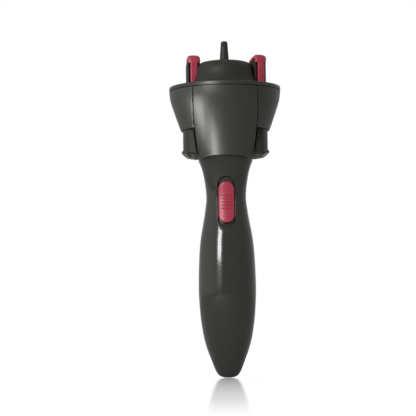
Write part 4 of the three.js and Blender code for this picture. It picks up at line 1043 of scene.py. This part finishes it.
def cap_parts():
    """The cap's outer and underside lines run up the brow, over a quarter-round and down to the rear; across
    them the half width narrows behind the middle. An outer point sinks towards the underside near the edges,
    and by the cube of its share of the half width."""
    bend = np.linspace(0, np.pi / 2, 13)[:, None]
    brow = np.hstack([cap_peak_place - brow_reach * np.cos(bend), cap_peak - cap_thick * (1 - np.sin(bend))])
    under_height = cap_peak - cap_thick - under_rise * (1 - np.sin(bend))
    under = np.hstack([cap_peak_place - under_reach * np.cos(bend), under_height])
    brow = np.concatenate([[[clip_front, cap_skirt]], brow])
    under = np.concatenate([[[clip_front + clip_leg, cap_skirt]], under])
    back = np.linspace(0, 1, 19)[1:, None]
    swell = np.hstack([0 * back, cap_swell * np.sin(np.pi * back)])
    outer = np.concatenate([brow, brow[-1] + back * ([cap_end, cap_end_top] - brow[-1]) + swell])
    inner = np.concatenate([under, under[-1] + back * ([cap_end, cap_end_top - cap_thick] - under[-1])])
    run = arc_lengths(outer)
    knots = rounded_lines(0, run[-1], 0.45, cap_end_round)
    outer, inner = (points_at(knots, run, line) for line in (outer, inner))
    share = rounded_lines(-cap_half, cap_half, 0.45, cap_side_round) / cap_half
    half = np.interp(outer[:, 0], [0, cap_end], [cap_half, cap_end_half])
    u = share * half[:, None]
    fall = cap_edge_sink * np.abs(share) ** 3 + edge_fall(half[:, None] - np.abs(u), cap_side_round)
    fall = np.maximum(fall, edge_fall(run[-1] - knots, cap_end_round)[:, None])
    fall = np.maximum(fall, 0.5 * edge_fall(knots, 0.4)[:, None])
    way = inner - outer
    way = way / np.linalg.norm(way, axis=1)[:, None]
    top = np.stack([u, outer[:, :1] + fall * way[:, :1], outer[:, 1:] + fall * way[:, 1:]], -1)
    below = np.stack([u * 0.985, inner[:, :1] + 0 * u, inner[:, 1:] + 0 * u], -1)
    return plate(top, below)


def block_between(half, front, rear, low, high, radius):
    """A block whose front face's edges are quarter-rounds; its rear face is plain."""
    u, z = np.meshgrid(rounded_lines(-half, half, 0.5, radius), rounded_lines(low, high, 0.8, radius))
    fall = edge_fall(np.minimum.reduce([half - np.abs(u), z - low, high - z]), radius)
    return plate(np.stack([u, front + fall, z], -1), np.stack([u, rear + 0 * u, z], -1))


for side in ("left", "right"):
    leg = block_between(clip_leg_half, clip_front, clip_front + clip_leg, leg_low, cap_skirt + 1.6, leg_round)
    rider = block_between(rider_half, rider_front, rider_rear, rider_low, rider_high, rider_round)
    points, faces = joined(cap_parts(), leg, rider)
    clip = mesh_object(f"{side}_hook_clip", on_hook(points, side), faces, crimson, sharp=50)
    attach(clip, f"{side}_hook")
    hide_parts(f"{side}_clip")

# -------- Return springs
# Two springs wound from zinc-plated steel wire stand round the lift rods inside the head, each from its
# rod's flange up to the spindle. They are drawn at one length; in the braider they shorten as the levers lift
# the hooks, and push them down again.
coil_radius, coil_wire, coil_turns = 1.7, 0.225, 4
coil_low, coil_high, coil_seat, hook_travel = 170.44, 179.23, 179.5, 5.0


def wound_spring():
    """The wire's circle carried along a helix that rises evenly as it turns, square to it.
    Each end shuts in a point."""
    turn = np.linspace(0, 2 * np.pi * coil_turns, 40 * coil_turns + 1)[:, None]
    round_ = np.linspace(0, 2 * np.pi, 13)[:, None]
    rise = (coil_high - coil_low) / (2 * np.pi * coil_turns)
    out = np.stack([np.cos(turn), np.sin(turn), 0 * turn], -1)
    along = np.stack([-coil_radius * np.sin(turn), coil_radius * np.cos(turn), rise + 0 * turn], -1)
    up = np.cross(out, along) / math.hypot(coil_radius, rise)
    line = coil_radius * out + np.stack([0 * turn, 0 * turn, coil_low + rise * turn], -1)
    wire = line + coil_wire * (np.cos(round_) * out + np.sin(round_) * up)
    return grid_mesh(np.concatenate([line[:1] + 0 * wire[:1], wire, line[-1:] + 0 * wire[-1:]]))


for side in ("left", "right"):
    points, faces = wound_spring()
    spring = mesh_object(f"{side}_return_spring", on_hook(points, side), faces, zinc, sharp=60)
    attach(spring, f"{side}_spindle")
    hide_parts(f"{side}_spring")
    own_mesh(spring)

# -------- Works inside
# The solids that the skins hide keep their own shapes: dull black mouldings, acetal gears, turned steel,
# a brass pinion, the fibreglass board, foil-wrapped cells and two pairs of wires.


def grained(name, dark, light, roughness, size, metallic=0.0, stretch=(1, 1, 1)):
    """A surface between two shades in fine grain of that size, which is also its relief, and in wider clouds,
    which also dull its gloss."""
    finish = Finish(name)
    grain = finish.noise(size, 3.0, stretch)
    cloud = finish.noise(size * 14, 2.0)
    return finish.solid(
        Base_Color=finish.blend((grain * 0.5 + cloud * 0.5).held(), dark, light),
        Roughness=roughness + 0.14 * cloud,
        Metallic=metallic,
        Normal=finish.bump(grain, 0.2, size * 0.15),
    )


def woven_board():
    """Green solder mask over a fine weave, with paler copper tracks along winding bands."""
    finish = Finish("green_circuit_board")
    weave = finish.noise(0.0003, 2.0)
    tracks = finish.node(
        "ShaderNodeTexWave",
        {"wave_type": "BANDS", "bands_direction": "X"},
        {"Vector": finish.place(), "Scale": 95.0, "Distortion": 6.0, "Detail": 1.0, "Detail Scale": 0.4},
    )
    line = finish.between(tracks, 0.62, 0.74)
    colour = finish.blend((0.7 * line + 0.3 * weave).held(), (0.012, 0.075, 0.028), (0.045, 0.19, 0.075))
    return finish.solid(Base_Color=colour, Roughness=0.30 + 0.2 * weave, Normal=finish.bump(line, 0.3, 0.00004))


inner_finishes = [
    (
        grained("dull_black_abs", (0.012, 0.012, 0.011), (0.021, 0.021, 0.019), 0.48, 0.0005),
        "battery_tray slide_switch gear_chassis gear_plate rotor_track carrier_spider",
    ),
    (
        grained("natural_acetal", (0.66, 0.63, 0.55), (0.74, 0.71, 0.63), 0.36, 0.0006),
        "lift_ring compound_gear drive_gear sun_gear left_planet right_planet",
    ),
    (
        grained("turned_steel", (0.44, 0.44, 0.45), (0.58, 0.58, 0.59), 0.22, 0.0003, 1.0, (0.2, 0.2, 2.0)),
        "contact_bottom contact_top_left contact_top_right compound_pin motor_shaft drive_shaft carrier_clutch"
        " spider_screw_1 spider_screw_2 sun_clutch left_rod right_rod",
    ),
    (grained("plated_motor_can", (0.48, 0.48, 0.47), (0.60, 0.60, 0.58), 0.26, 0.0005, 1.0, (1, 1, 0.1)), "motor"),
    (grained("cut_brass", (0.52, 0.36, 0.12), (0.66, 0.48, 0.19), 0.25, 0.0003, 1.0), "motor_pinion"),
    (grained("foil_cell_wrap", (0.10, 0.11, 0.12), (0.16, 0.17, 0.18), 0.28, 0.0006, 0.4), "cell_left cell_right"),
    (
        grained("red_wire_jacket", (0.33, 0.012, 0.010), (0.42, 0.022, 0.016), 0.40, 0.0004),
        "wire_battery_left wire_motor_left",
    ),
    (
        grained("black_wire_jacket", (0.012, 0.012, 0.012), (0.024, 0.024, 0.024), 0.40, 0.0004),
        "wire_battery_right wire_motor_right",
    ),
    (woven_board(), "switch_board"),
]
for finish, nodes in inner_finishes:
    for node in nodes.split():
        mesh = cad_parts[node].data
        mesh.materials.clear()
        mesh.materials.append(finish)
